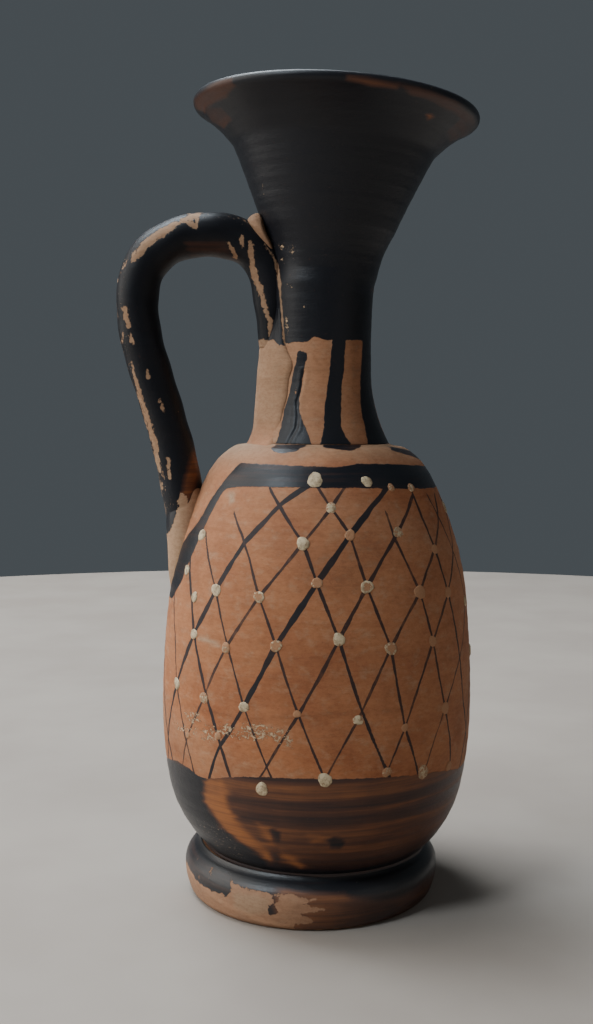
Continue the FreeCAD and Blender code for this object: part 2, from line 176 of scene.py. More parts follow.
def waves(turn, station, pitch, seed):
    """Uneven hand work between about -1 and 1: five sines that close once round the piece."""
    angle = np.radians(turn)
    total = 0.0
    for count in range(1, 6):
        along = station * 2.0 * math.pi * count / (pitch * 2.3)
        total = total + np.sin(count * angle + along + seed * (count + 0.7)) / (0.6 + 0.4 * count)
    return total / 2.2


def camera_axes():
    """The camera's right, up and forward directions."""
    turn = math.radians(CAMERA_TURN)
    level_right = np.array([math.cos(turn), math.sin(turn), 0.0])
    away = np.array([-math.sin(turn), math.cos(turn), 0.0])
    yaw = math.radians(CAMERA_YAW)
    right = level_right * math.cos(yaw) + away * math.sin(yaw)
    away = away * math.cos(yaw) - level_right * math.sin(yaw)
    pitch = math.radians(CAMERA_PITCH)
    skyward = np.array([0.0, 0.0, 1.0])
    forward = away * math.cos(pitch) - skyward * math.sin(pitch)
    up = away * math.sin(pitch) + skyward * math.cos(pitch)
    return right, up, forward


RIGHT, UP, FORWARD = camera_axes()


def sight_lines(pixels):
    """Unit directions from the camera through pixels of the 593 x 1024 picture."""
    across = (pixels[:, 0] - IMAGE_WIDTH / 2) / FOCAL_PIXELS
    upward = (IMAGE_HEIGHT / 2 - pixels[:, 1]) / FOCAL_PIXELS
    lines = FORWARD + across[:, None] * RIGHT + upward[:, None] * UP
    return lines / np.linalg.norm(lines, axis=1, keepdims=True)


def on_picture(points):
    """Pixels at which the camera sees points, as x and y arrays."""
    away = points - CAMERA_PLACE
    depth = away @ FORWARD
    x = IMAGE_WIDTH / 2 + FOCAL_PIXELS * (away @ RIGHT) / depth
    y = IMAGE_HEIGHT / 2 - FOCAL_PIXELS * (away @ UP) / depth
    return x, y


def arc(start, passed, end, count):
    """Points on the circle through three points, from the first past the second up to the third."""
    a, b, c = (complex(*point) for point in (start, passed, end))
    ratio = (c - a) / (b - a)
    if abs(ratio.imag) < TINY:
        line = a + (c - a) * np.linspace(0.0, 1.0, count)
        return np.column_stack([line.real, line.imag])
    centre = a - (a - b) * (ratio - abs(ratio) ** 2) / (2j * ratio.imag)
    first = np.angle(a - centre)
    middle = (np.angle(b - centre) - first) % (2 * math.pi)
    sweep = (np.angle(c - centre) - first) % (2 * math.pi)
    if middle > sweep:
        sweep -= 2 * math.pi
    round_points = centre + abs(a - centre) * np.exp(1j * (first + sweep * np.linspace(0.0, 1.0, count)))
    return np.column_stack([round_points.real, round_points.imag])


def arcs(points, count=40):
    """One line of points through arcs: each point but the first is passed and reached in turn."""
    runs = [np.array([points[0]])]
    for index in range(0, len(points) - 1, 2):
        runs.append(arc(points[index], points[index + 1], points[index + 2], count)[1:])
    return np.concatenate(runs)


def soften(line, step, reach):
    """A line of points taken at even steps, each the mean of its neighbours; the ends stay."""
    path = np.concatenate([[0.0], np.cumsum(np.hypot(*np.diff(line, axis=0).T))])
    even = np.linspace(0.0, path[-1], int(path[-1] / step))
    line = np.column_stack([np.interp(even, path, line[:, 0]), np.interp(even, path, line[:, 1])])
    window = np.ones(2 * reach + 1) / (2 * reach + 1)
    soft = np.column_stack([np.convolve(column, window, mode="same") for column in line.T])
    place = np.arange(len(line))
    share = np.clip(np.minimum(place, place[::-1]) / (2.0 * reach) - 0.5, 0.0, 1.0)
    return line + (soft - line) * share[:, None]


def spline(knots, values, at):
    """A natural cubic curve through values at knots, read at new places; one column per quantity."""
    gaps = np.diff(knots)
    size = len(knots)
    matrix = np.eye(size)
    bend = np.zeros((size, values.shape[1]))
    slopes = np.diff(values, axis=0) / gaps[:, None]
    for row in range(1, size - 1):
        matrix[row, row - 1:row + 2] = gaps[row - 1], 2 * (gaps[row - 1] + gaps[row]), gaps[row]
        bend[row] = 6 * (slopes[row] - slopes[row - 1])
    bend = np.linalg.solve(matrix, bend)
    piece = np.clip(np.searchsorted(knots, at, side="right") - 1, 0, size - 2)
    gap = gaps[piece][:, None]
    after = (at - knots[piece])[:, None]
    before = gap - after
    return ((bend[piece] * before ** 3 + bend[piece + 1] * after ** 3) / (6 * gap)
            + (values[piece] / gap - bend[piece] * gap / 6) * before
            + (values[piece + 1] / gap - bend[piece + 1] * gap / 6) * after)


class Wheel:
    """Frame and outer outline of one turned piece, in millimetres.

    A point is told by its radius from the leaning axis, its turn about it (0 towards the camera, 90
    to the camera's right) and its height along it. A station is a length along the outline.
    """

    def __init__(self, placing, outline):
        shift, level, lean = placing
        lean = math.radians(lean)
        self.origin = np.array([shift, 0.0, level])
        self.across = np.array([math.cos(lean), 0.0, -math.sin(lean)])
        self.back = np.array([0.0, 1.0, 0.0])
        self.up = np.array([math.sin(lean), 0.0, math.cos(lean)])
        self.radii = outline[:, 0]
        self.heights = outline[:, 1]
        steps = np.hypot(np.diff(self.radii), np.diff(self.heights))
        self.path = np.concatenate([[0.0], np.cumsum(steps)])

    def world(self, radius, turn, height):
        """Points in the row frame."""
        angle = np.radians(turn + FRONT)
        radius, angle, height = np.broadcast_arrays(radius, angle, height)
        return (self.origin
                + (radius * np.cos(angle))[..., None] * self.across
                + (radius * np.sin(angle))[..., None] * self.back
                + height[..., None] * self.up)

    def own(self, points):
        """Radius, turn and height of points of the row frame."""
        away = points - self.origin
        across = away @ self.across
        back = away @ self.back
        return np.hypot(across, back), wrap(np.degrees(np.arctan2(back, across)) - FRONT), away @ self.up

    def radius_at(self, station):
        return np.interp(station, self.path, self.radii)

    def height_at(self, station):
        return np.interp(station, self.path, self.heights)

    def station_at(self, height):
        return np.interp(height, self.heights, self.path)

    def slope_at(self, station):
        """Upward and inward lean of the wall: the angle of its outward normal over the level."""
        rise = self.height_at(station + 0.2) - self.height_at(station - 0.2)
        widen = self.radius_at(station + 0.2) - self.radius_at(station - 0.2)
        return np.arctan2(-widen, rise)

    def seen_at(self, pixels):
        """Turn and station of the wall at pixels of the picture.

        Each line of sight is followed in short steps to its first point inside the wall, or, where it
        misses the wall, to the point that passes nearest.
        """
        lines = sight_lines(np.asarray(pixels, float))
        radius, turn, height = self.own(CAMERA_PLACE + lines[:, None, :] * SIGHT_STEPS[:, None])
        gap = radius - np.interp(height, self.heights, self.radii)
        past = np.maximum(self.heights[0] - height, height - self.heights[-1])
        gap = np.where(past > 0.0, np.maximum(gap, 0.0) + 20.0 * past, gap)
        inside = gap < 0.0
        first = np.where(inside.any(axis=1), inside.argmax(axis=1), gap.argmin(axis=1))
        rows = np.arange(len(first))
        return turn[rows, first], self.station_at(height[rows, first])


def nearest_share(ax, ay, ex, ey):
    """Where along an edge, from 0 to 1, it passes nearest to the point that it is measured from."""
    return np.clip(-(ax * ex + ay * ey) / (ex * ex + ey * ey + TINY), 0.0, 1.0)


def outline_depth(edges):
    """Distance to the nearest edge of a closed outline, positive inside it.

    Each edge is its start and its run, seen from every point. A point is inside where a level line
    from it to the right crosses an odd number of edges.
    """
    nearest, within = np.inf, False
    for ax, ay, ex, ey in edges:
        share = nearest_share(ax, ay, ex, ey)
        nearest = np.minimum(nearest, (ax + share * ex) ** 2 + (ay + share * ey) ** 2)
        crossed = (ay > 0) != (ay + ey > 0)
        rise = ey if abs(ey) > TINY else TINY
        within = within ^ (crossed & (ax - ay * ex / rise > 0))
    return np.where(within, 1.0, -1.0) * np.sqrt(nearest)


def brush_depth(edges, widths):
    """Half the width of a brush line less the distance to it; its closing edge is left out."""
    best = -np.inf
    for (ax, ay, ex, ey), start, end in zip(edges, widths[:-1], widths[1:]):
        share = nearest_share(ax, ay, ex, ey)
        width = start + (end - start) * share
        best = np.maximum(best, width / 2 - np.hypot(ax + share * ex, ay + share * ey))
    return best


class Patch:
    """The places of a wheel's surface points, and distances on it, in millimetres."""

    def __init__(self, wheel, turn, station):
        self.wheel = wheel
        self.turn, self.station = np.broadcast_arrays(turn, station)
        self.scale = np.radians(1.0) * np.maximum(wheel.radius_at(self.station), 1.0)

    def inside(self, pixels, shift=0.0):
        """Distance to the edge of a closed outline that is given in pixels, positive inside it."""
        turns, stations = self.wheel.seen_at(pixels)
        return self.inside_turned(turns + shift, stations)

    def edges(self, turns, stations):
        """Start and run of each edge of a closed line, in millimetres from every surface point."""
        off = wrap(turns.mean() - self.turn) - turns.mean()
        for t0, s0, t1, s1 in zip(turns, stations, np.roll(turns, -1), np.roll(stations, -1)):
            yield (t0 + off) * self.scale, s0 - self.station, (t1 - t0) * self.scale, s1 - s0

    def inside_turned(self, turns, stations):
        """Distance to the edge of a closed outline of turns and stations, positive inside it."""
        return outline_depth(self.edges(turns, stations))

    def along(self, pixels, width):
        """How far points lie inside a brush line that is given in pixels."""
        return brush_depth(self.edges(*self.wheel.seen_at(pixels)), [width] * len(pixels))

    def above(self, pixels, flip=False):
        """How far points lie above a line across the wall, which runs on round the back to its start."""
        turns, stations = self.wheel.seen_at(pixels)
        level = np.interp(self.turn, turns, stations, period=360.0)
        return (level - self.station) if flip else (self.station - level)


def picture_edges(points, line):
    """Start and run of each edge of a closed pixel line, in pixels from where the camera sees points."""
    x, y = on_picture(points)
    line = np.asarray(line, float)
    for (x0, y0), (x1, y1) in zip(line, np.roll(line, -1, axis=0)):
        yield x0 - x, y0 - y, x1 - x0, y1 - y0


def picture_distance(points, line, widths):
    """How far points are inside a brush line, both as the camera sees them, in millimetres."""
    return brush_depth(picture_edges(points, line), widths) * PIXEL_MM


def picture_inside(points, outline):
    """Distance to the edge of a closed outline, as the camera sees both, in millimetres."""
    return outline_depth(picture_edges(points, outline)) * PIXEL_MM


# Meshes

def skins(name, shapes, ring=False):
    """Closed shapes of one grid in one mesh, each from rows of points that go once round.

    Quads join each row to the next. A ring joins its last row to its first; other shapes are closed
    at both ends by a fan of triangles to the middle of the end row.
    """
    count, rows, columns = shapes.shape[:3]
    column = np.arange(columns)
    following = (column + 1) % columns
    row = np.arange(rows if ring else rows - 1)[:, None]
    upper = (row + 1) % rows
    quads = np.stack([row * columns + column, row * columns + following,
                      upper * columns + following, upper * columns + column], axis=-1).reshape(-1, 4)
    fans = np.zeros((0, 3), int)
    points = shapes.reshape(count, -1, 3)
    if not ring:
        base, last = rows * columns, (rows - 1) * columns
        bottom = np.stack([np.full(columns, base), following, column], axis=-1)
        top = np.stack([last + column, last + following, np.full(columns, base + 1)], axis=-1)
        fans = np.concatenate([bottom, top])
        ends = np.stack([shapes[:, 0].mean(axis=1), shapes[:, -1].mean(axis=1)], axis=1)
        points = np.concatenate([points, ends], axis=1)
    shift = np.arange(count)[:, None, None] * points.shape[1]
    quads, fans = quads + shift, fans + shift
    corners = np.concatenate([quads.ravel(), fans.ravel()]).astype(np.int32)
    lengths = np.repeat([4, 3], [quads.size // 4, fans.size // 3])
    starts = np.concatenate([[0], np.cumsum(lengths)[:-1]]).astype(np.int32)
    mesh = bpy.data.meshes.new(name)
    mesh.vertices.add(points.size // 3)
    mesh.vertices.foreach_set("co", (points * MM).astype(np.float32).ravel())
    mesh.loops.add(len(corners))
    mesh.loops.foreach_set("vertex_index", corners)
    mesh.polygons.add(len(starts))
    mesh.polygons.foreach_set("loop_start", starts)
    mesh.polygons.foreach_set("use_smooth", np.ones(len(starts), bool))
    mesh.update(calc_edges=True)
    mesh.validate()
    thing = bpy.data.objects.new(name, mesh)
    bpy.context.scene.collection.objects.link(thing)
    return thing


def skin(name, points, ring=False):
    """One closed shape as a mesh of its own."""
    return skins(name, points[None], ring)


def paint(thing, name, values, domain="POINT"):
    """Keep three numbers for each point or face corner in one attribute."""
    attribute = thing.data.attributes.new(name, "FLOAT_VECTOR", domain)
    attribute.data.foreach_set("vector", values.astype(np.float32).ravel())


def whole_piece(thing, fields, fills, first_row, columns):
    """Fields of some rows of a skin set among all its rows; the rows they don't reach get the fills."""
    rows = np.empty((len(thing.data.vertices) // columns, *fields.shape[1:]))
    rows[:] = fills
    rows[first_row:first_row + len(fields)] = fields
    return rows


def paint_points(thing, name, fields, fills=(0.0, 0.0, 0.0), first_row=0):
    """Three fields over the rows of a skin from first_row on; end points get their row's mean."""
    fields = np.stack(np.broadcast_arrays(*fields), axis=-1)
    rows = whole_piece(thing, fields, fills, first_row, fields.shape[1])
    flat = rows.reshape(-1, 3)
    if len(flat) < len(thing.data.vertices):
        flat = np.concatenate([flat, rows[[0, -1]].mean(axis=1)])
    paint(thing, name, flat)


def paint_corners(thing, name, values, fill, first_row):
    """Three numbers for each face corner, so that a count that runs on round the piece has no seam.

    values has one more column than the mesh: the last is the first column's, one round later.
    """
    rows = whole_piece(thing, values, fill, first_row, values.shape[1] - 1)
    here, there = rows[:, :-1], rows[:, 1:]
    quads = np.stack([here[:-1], there[:-1], there[1:], here[1:]], axis=2).reshape(-1, 3)
    flat = np.full((len(thing.data.loops), 3), fill)
    flat[:len(quads)] = quads
    paint(thing, name, flat, "CORNER")


def finish_piece(thing, material, slot, *nodes):
    """Give a piece its material and its body, and hide the imported parts of the nodes that it stands for;
    slot is not used.
    """
    thing.data.materials.append(material)
    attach(thing, "root")
    if nodes:
        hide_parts(*nodes)


def section_tube(rows, columns, table, placing, swell=None):
    """A rod of oval sections: centres, turns, thickness and width run smoothly through a table.

    Each ring is centre + (thickness/2) cos(a) n + (width/2) sin(a) y, with n the section's own
    direction in the plane of the handle. Returns points, ring centres, stations and angles.
    """
    knots = np.concatenate([[0.0], np.cumsum(np.hypot(np.diff(table[:, 0]), np.diff(table[:, 1])))])
    stations = np.linspace(0.0, knots[-1], rows)
    out, up, turn, thickness, width = spline(knots, table, stations).T
    angle = np.linspace(0.0, 2 * math.pi, columns, endpoint=False)
    frame_of = Wheel(placing, np.array([[1.0, 0.0], [1.0, 1.0]]))
    turn = np.radians(turn)
    level, rise = np.cos(turn), -np.sin(turn)
    if swell is not None:
        extra = swell(stations[:, None], angle[None, :])
    else:
        extra = np.zeros((rows, columns))
    thick = (thickness[:, None] / 2 + extra) * np.cos(angle)
    wide = (width[:, None] / 2 + extra) * np.sin(angle)
    across = -out[:, None] + thick * level[:, None]
    height = up[:, None] + thick * rise[:, None]
    points = (frame_of.origin + across[..., None] * frame_of.across
              + wide[..., None] * frame_of.back + height[..., None] * frame_of.up)
    centres = (frame_of.origin - out[:, None, None] * frame_of.across
               + up[:, None, None] * frame_of.up)
    return points, centres, stations[:, None] + 0 * angle, np.degrees(angle) + 0 * stations[:, None]


def keep_outside(points, wheel, depth):
    """Points more than a depth below a wheel's wall are moved straight out to that depth."""
    radius, turn, height = wheel.own(points)
    wall = np.interp(height, wheel.heights, wheel.radii) - depth
    within = (height > wheel.heights[0] - 1.0) & (height < wheel.heights[-1] + 1.0)
    return wheel.world(np.where(within, np.maximum(radius, wall), radius), turn, height)


# Outlines of the thrown pieces

def body_wheel(sizes):
    """The body's frame and outer outline, with a small rise of luting clay where the neck stands."""
    belly, tall = sizes.belly_radius / MM, sizes.body_height / MM
    line = soften(arcs([(belly * wide, tall * high) for wide, high in BODY_SHARES]), 0.2, 10)
    rise = [(14.0, tall + 0.08), (13.3, tall + 0.18), (12.8, tall + 0.32), (12.45, tall + 0.5)]
    return Wheel(BODY_FRAME, np.concatenate([line, rise]))


def neck_wheel(sizes):
    """The neck's frame and outer outline: a hollow flare and then a nearly straight tube."""
    waist = sizes.neck_radius / MM
    flare = (waist + (NECK_BASE_RADIUS - waist) * 0.307, FLARE_HEIGHT * 0.43)
    line = arcs([(NECK_BASE_RADIUS, 0.0), flare, (waist, FLARE_HEIGHT),
                 (waist, 19.1), (waist + 0.3, 28.2)])
    return Wheel(NECK_FRAME, line[line[:, 1] <= NECK_HEIGHT])


def mouth_wheel(sizes):
    """The mouth's frame and outer outline from its root to the top of its lip."""
    rim = sizes.rim_radius / MM
    points = [(rim * wide, MOUTH_HEIGHT * high) for wide, high in MOUTH_OUTSIDE_SHARES]
    root = (rim * MOUTH_ROOT_SHARE, -2.6)
    return Wheel(MOUTH_FRAME, np.concatenate([[root], arcs(points)]))


def foot_wheel(sizes):
    """The foot's frame and outer outline from the resting ring up to the groove below the body."""
    wide = sizes.foot_radius / MM
    points = [
        (21.2, 0.0), (21.9, 0.5), (22.35, 1.5), (wide - 0.05, 3.9), (wide, 5.0),
        (wide - 0.12, 5.9), (22.45, 6.75), (21.9, 7.35), (21.1, 7.95), (20.5, 8.35), (20.1, 8.9),
    ]
    return Wheel((0.0, 0.0, 0.0), arcs(points, 24))


def turned(wheel, rows, columns):
    """Stations up a wheel's outside, turns round it, and the wall's radius and height over both."""
    outside = np.linspace(0.0, wheel.path[-1], rows)
    turns = np.linspace(-180.0, 180.0, columns, endpoint=False)
    radius = wheel.radius_at(outside)[:, None] + 0 * turns
    height = wheel.height_at(outside)[:, None] + 0 * turns
    return outside, turns, radius, height


def rings(table, turns):
    """Radius and height of a table's rows, each repeated for every turn."""
    table = np.reshape(table, (-1, 2, 1)) + 0 * turns
    return table[:, 0], table[:, 1]


def closed_points(wheel, turns, below, wall, above):
    """Points of a turned piece: the rings below its wall, the wall, and the rings that follow it."""
    parts = [rings(below, turns), wall, rings(above, turns)]
    radius, height = (np.concatenate(rows) for rows in zip(*parts))
    return wheel.world(radius, turns[None, :], height)


def fade_at_ends(wheel, station, foot, top):
    """1 along a wheel's outline and 0 at both ends, each over a range of stations from its end."""
    end = wheel.path[-1]
    return smooth(station, *foot) * (1 - smooth(station, end - top[0], end - top[1]))


# Materials

class Finish:
    """Short ways to add and join the shader nodes of one material."""

    def __init__(self, name):
        self.material = bpy.data.materials.new(name)
        self.material.use_nodes = True
        self.tree = self.material.node_tree
        self.tree.nodes.clear()
        self.place = self.node("ShaderNodeTexCoord").outputs["Object"]

    def node(self, kind, **settings):
        new = self.tree.nodes.new(kind)
        for name, value in settings.items():
            setattr(new, name, value)
        return new

    def set(self, socket, value):
        if isinstance(value, bpy.types.NodeSocket):
            self.tree.links.new(value, socket)
        elif isinstance(value, (tuple, list)) and len(value) == 3 and socket.type == "RGBA":
            socket.default_value = (*value, 1.0)
        else:
            socket.default_value = value

    def math(self, operation, first, second=0.0, clamp=False):
        new = self.node("ShaderNodeMath", operation=operation, use_clamp=clamp)
        self.set(new.inputs[0], first)
        self.set(new.inputs[1], second)
        return new.outputs[0]

    def plus(self, first, second):
        return self.math("ADD", first, second)

    def minus(self, first, second):
        return self.math("SUBTRACT", first, second)

    def times(self, first, second):
        return self.math("MULTIPLY", first, second)

    def swing(self, value, amount):
        """A noise's ups and downs about its middle, as high as an amount."""
        return self.times(self.minus(value, 0.5), amount)

    def step(self, value, low, high):
        """0 below low and 1 above high, smoothly."""
        new = self.node("ShaderNodeMapRange", interpolation_type="SMOOTHSTEP")
        self.set(new.inputs["Value"], value)
        self.set(new.inputs["From Min"], low)
        self.set(new.inputs["From Max"], high)
        return new.outputs["Result"]

    def spread(self, value, low, high, to_low, to_high):
        """A straight, clamped change of one range into another."""
        new = self.node("ShaderNodeMapRange")
        for name, number in (("Value", value), ("From Min", low), ("From Max", high),
                             ("To Min", to_low), ("To Max", to_high)):
            self.set(new.inputs[name], number)
        return new.outputs["Result"]

    def mix(self, share, first, second, blend="MIX"):
        new = self.node("ShaderNodeMix", data_type="RGBA", blend_type=blend)
        self.set(new.inputs[0], share)
        self.set(new.inputs[6], first)
        self.set(new.inputs[7], second)
        return new.outputs[2]

    def fields(self, name):
        """The three numbers of an attribute."""
        source = self.node("ShaderNodeAttribute", attribute_name=name)
        parts = self.node("ShaderNodeSeparateXYZ")
        self.set(parts.inputs[0], source.outputs["Vector"])
        return parts.outputs

    def noise(self, size, detail=4.0, rough=0.55, stretch=(1.0, 1.0, 1.0), offset=0.0):
        """Noise with features of about a size in millimetres, squeezed or stretched along the axes."""
        mapping = self.node("ShaderNodeMapping")
        self.set(mapping.inputs["Vector"], self.place)
        mapping.inputs["Scale"].default_value = stretch
        mapping.inputs["Location"].default_value = (offset, offset * 0.7, offset * 1.3)
        new = self.node("ShaderNodeTexNoise")
        self.set(new.inputs["Vector"], mapping.outputs[0])
        new.inputs["Scale"].default_value = 1.0 / (size * MM)
        new.inputs["Detail"].default_value = detail
        new.inputs["Roughness"].default_value = rough
        return new.outputs["Fac"]

    def ramp(self, value, stops):
        new = self.node("ShaderNodeValToRGB")
        self.set(new.inputs[0], value)
        elements = new.color_ramp.elements
        for element, (position, shade) in ((elements[0], stops[0]), (elements[1], stops[-1])):
            element.position = position
            element.color = (*shade, 1.0)
        for position, shade in stops[1:-1]:
            elements.new(position).color = (*shade, 1.0)
        return new.outputs["Color"]

    def close(self, colour, roughness, height, depth_mm, specular=0.5):
        """Join colour, roughness and height to the surface."""
        shader = self.node("ShaderNodeBsdfPrincipled")
        bump = self.node("ShaderNodeBump")
        bump.inputs["Distance"].default_value = depth_mm * MM
        self.set(bump.inputs["Height"], height)
        self.set(shader.inputs["Normal"], bump.outputs["Normal"])
        self.set(shader.inputs["Base Color"], colour)
        self.set(shader.inputs["Roughness"], roughness)
        shader.inputs["Specular IOR Level"].default_value = specular
        output = self.node("ShaderNodeOutputMaterial")
        self.set(output.inputs["Surface"], shader.outputs["BSDF"])
        return self.material


def clay_colour(finish, colours, shade):
    """Fired clay: warm base with cloudy beige and red patches, fine speckles and wheel lines."""
    cloud = finish.noise(11.0, detail=5.0, rough=0.6)
    mottle = finish.noise(2.2, detail=6.0, rough=0.65, stretch=(1.0, 1.0, 1.6), offset=3.0)
    speck = finish.noise(0.35, detail=3.0, rough=0.7, offset=7.0)
    wheel_lines = finish.noise(6.0, detail=5.0, rough=0.6, stretch=(0.25, 0.25, 9.0), offset=5.0)
    base, pale, red = tuple(colours.clay), tuple(colours.pale_clay), tuple(colours.red_clay)
    warm = finish.mix(finish.step(cloud, 0.40, 0.68), base, red)
    warm = finish.mix(finish.times(finish.step(mottle, 0.48, 0.75), 0.45), warm, pale)
    # Mixing towards pale clay by the given paleness, which from painted_clay also paints light in places.
    warm = finish.mix(shade, warm, pale)
    dark = finish.mix(1.0, warm, (0.62, 0.55, 0.50), "MULTIPLY")
    warm = finish.mix(finish.times(finish.step(wheel_lines, 0.50, 0.78), 0.35), warm, dark)
    warm = finish.mix(finish.times(finish.step(speck, 0.60, 0.72), 0.6), warm, dark)
    grain = finish.noise(0.8, detail=8.0, rough=0.8, stretch=(0.7, 0.7, 1.5), offset=47.0)
    warm = finish.mix(finish.times(finish.step(grain, 0.42, 0.62), 0.45), warm, dark)
    dusk = finish.noise(5.0, detail=6.0, rough=0.7, stretch=(0.8, 0.8, 1.3), offset=59.0)
    warm = finish.mix(finish.times(finish.step(dusk, 0.48, 0.72), 0.40), warm, dark)
    dust = finish.noise(1.1, detail=7.0, rough=0.75, stretch=(0.8, 0.8, 2.2), offset=53.0)
    warm = finish.mix(finish.times(finish.step(dust, 0.60, 0.72), 0.35), warm, pale)
    relief = finish.plus(finish.times(speck, 0.6), finish.times(wheel_lines, 0.7))
    return warm, finish.plus(relief, grain), mottle


def slip_ramp(finish, depth, colours):
    """Slip fired from thin reddish wash, at 0, to thick black gloss, at 1."""
    black, brown, wash = tuple(colours.black_slip), tuple(colours.brown_slip), tuple(colours.thin_slip)
    between = tuple((a + b) / 2 for a, b in zip(black, brown))
    return finish.ramp(depth, [(0.0, wash), (0.3, tuple((a + 2 * b) / 3 for a, b in zip(wash, brown))),
                               (0.5, brown), (0.75, between), (1.0, black)])


def painted_clay(name, colours, net=False, gloss=0.36, wander=0.3, specular=0.5):
    """Clay with slip paint on it.

    The slip covers where the first number of 'paint' is above zero, in millimetres from its edge; the
    second is how deeply it fired and the third how worn it is. 'tone' holds paleness, dirt and
    flecks; in places its paleness also paints light and its dirt also paints shade. With a net,
    'rising' and 'falling' hold a stroke count, their spacing and half width.
    """
    finish = Finish(name)
    cover, depth, wear = finish.fields("paint")
    pale, grime_and_shade, flecks = finish.fields("tone")
    clay, relief, mottle = clay_colour(finish, colours, pale)
    streak = finish.noise(5.0, detail=6.0, rough=0.65, stretch=(0.22, 0.22, 7.0), offset=2.0)
    cloud = finish.noise(7.0, detail=5.0, rough=0.6, offset=9.0)
    ragged = finish.noise(0.9, detail=5.0, rough=0.65, offset=11.0)
    chips = finish.noise(1.7, detail=8.0, rough=0.72, stretch=(1.0, 1.0, 0.7), offset=13.0)
    colour = clay
    ink = None
    if net:
        inks = finish.fields("ink")
        for share, name_of in ((inks[0], "rising"), (inks[1], "falling")):
            count, spacing, half = finish.fields(name_of)
            nearest = finish.math("ROUND", count)
            off = finish.math("ABSOLUTE", finish.minus(count, nearest))
            off = finish.times(off, spacing)
            off = finish.plus(off, finish.swing(ragged, 0.16))
            edge = finish.minus(half, off)
            line = finish.step(edge, -0.035, 0.075)
            dry = finish.spread(chips, 0.34, 0.66, 1.0, 0.62)
            strong = finish.math("MULTIPLY", finish.times(share, 1.9), dry, clamp=True)
            line = finish.times(line, strong)
            shade = slip_ramp(finish, finish.plus(finish.times(share, 0.50), 0.44), colours)
            colour = finish.mix(line, colour, shade)
            ink = line if ink is None else finish.math("MAXIMUM", ink, line)
    wobble = finish.swing(ragged, wander * 1.4)
    wobble = finish.plus(wobble, finish.swing(chips, wander * 2.2))
    edge = finish.plus(cover, wobble)
    slip = finish.step(edge, -0.06, 0.08)
    gone = finish.minus(finish.plus(chips, finish.times(wear, 0.5)), 0.78)
    gone = finish.step(gone, 0.0, 0.03)
    slip = finish.times(slip, finish.minus(1.0, gone))
    fired = finish.plus(depth, finish.swing(streak, 0.9))
    fired = finish.plus(fired, finish.swing(cloud, 0.35))
    fired = finish.math("MAXIMUM", fired, finish.minus(finish.times(depth, 4.0), 3.15), clamp=True)
    slip_colour = slip_ramp(finish, fired, colours)
    scuff = finish.times(finish.step(finish.noise(0.5, detail=6.0, rough=0.7, offset=17.0), 0.60, 0.72), 0.35)
    slip_colour = finish.mix(scuff, slip_colour, tuple(colours.brown_slip))
    colour = finish.mix(slip, colour, slip_colour)
    fleck = finish.noise(0.55, detail=5.0, rough=0.7, stretch=(1.0, 1.0, 1.3), offset=19.0)
    fleck = finish.step(finish.plus(fleck, finish.times(flecks, 0.21)), 0.68, 0.74)
    fleck = finish.times(fleck, finish.step(flecks, 0.02, 0.3))
    colour = finish.mix(fleck, colour, tuple(colours.chip_clay))
    # Darkening by the dirt field, which in places also paints shade.
    soiled_and_shaded = finish.mix(1.0, colour, (0.33, 0.26, 0.22), "MULTIPLY")
    colour = finish.mix(finish.times(grime_and_shade, finish.spread(mottle, 0.3, 0.7, 0.5, 1.0)), colour, soiled_and_shaded)
    shiny = slip if ink is None else finish.math("MAXIMUM", slip, finish.times(ink, 0.22))
    sheen = finish.spread(fired, 0.2, 0.9, 0.55, gloss)
    sheen = finish.plus(sheen, finish.swing(ragged, 0.22))
    rough = finish.plus(finish.times(shiny, finish.minus(sheen, 0.74)), 0.74)
    height = finish.plus(finish.times(relief, 0.35), finish.times(shiny, 0.30))
    height = finish.plus(height, finish.times(streak, 0.25))
    height = finish.minus(height, finish.times(fleck, 0.8))
    return finish.close(colour, rough, height, 0.11, specular)


def bare_clay(name, colours, darkness=0.0):
    """Clay without slip: pale, brushed level lines and fine pits."""
    finish = Finish(name)
    clay, relief, _ = clay_colour(finish, colours, 0.75)
    strokes = finish.noise(4.0, detail=6.0, rough=0.65, stretch=(0.3, 0.3, 6.0), offset=23.0)
    pits = finish.step(finish.noise(0.6, detail=3.0, rough=0.6, offset=29.0), 0.70, 0.76)
    dark = finish.mix(1.0, clay, (0.45, 0.36, 0.30), "MULTIPLY")
    colour = finish.mix(finish.times(finish.step(strokes, 0.52, 0.75), 0.5), clay, dark)
    colour = finish.mix(finish.times(pits, 0.7), colour, dark)
    colour = finish.mix(darkness, colour, dark)
    height = finish.plus(finish.times(relief, 0.5), finish.times(strokes, 0.8))
    height = finish.minus(height, pits)
    return finish.close(colour, 0.78, height, 0.12, specular=0.35)


def brushed_slip(name, colours):
    """Black slip over the luting clay: dull in the groove, with fine level brush lines."""
    finish = Finish(name)
    streak = finish.noise(4.0, detail=6.0, rough=0.65, stretch=(0.3, 0.3, 6.0), offset=41.0)
    grain = finish.noise(0.5, detail=5.0, rough=0.65, offset=43.0)
    fired = finish.spread(finish.plus(streak, finish.times(grain, 0.4)), 0.55, 0.95, 1.0, 0.62)
    rough = finish.spread(streak, 0.3, 0.7, 0.38, 0.6)
    return finish.close(slip_ramp(finish, fired, colours), rough, finish.plus(streak, grain), 0.06)


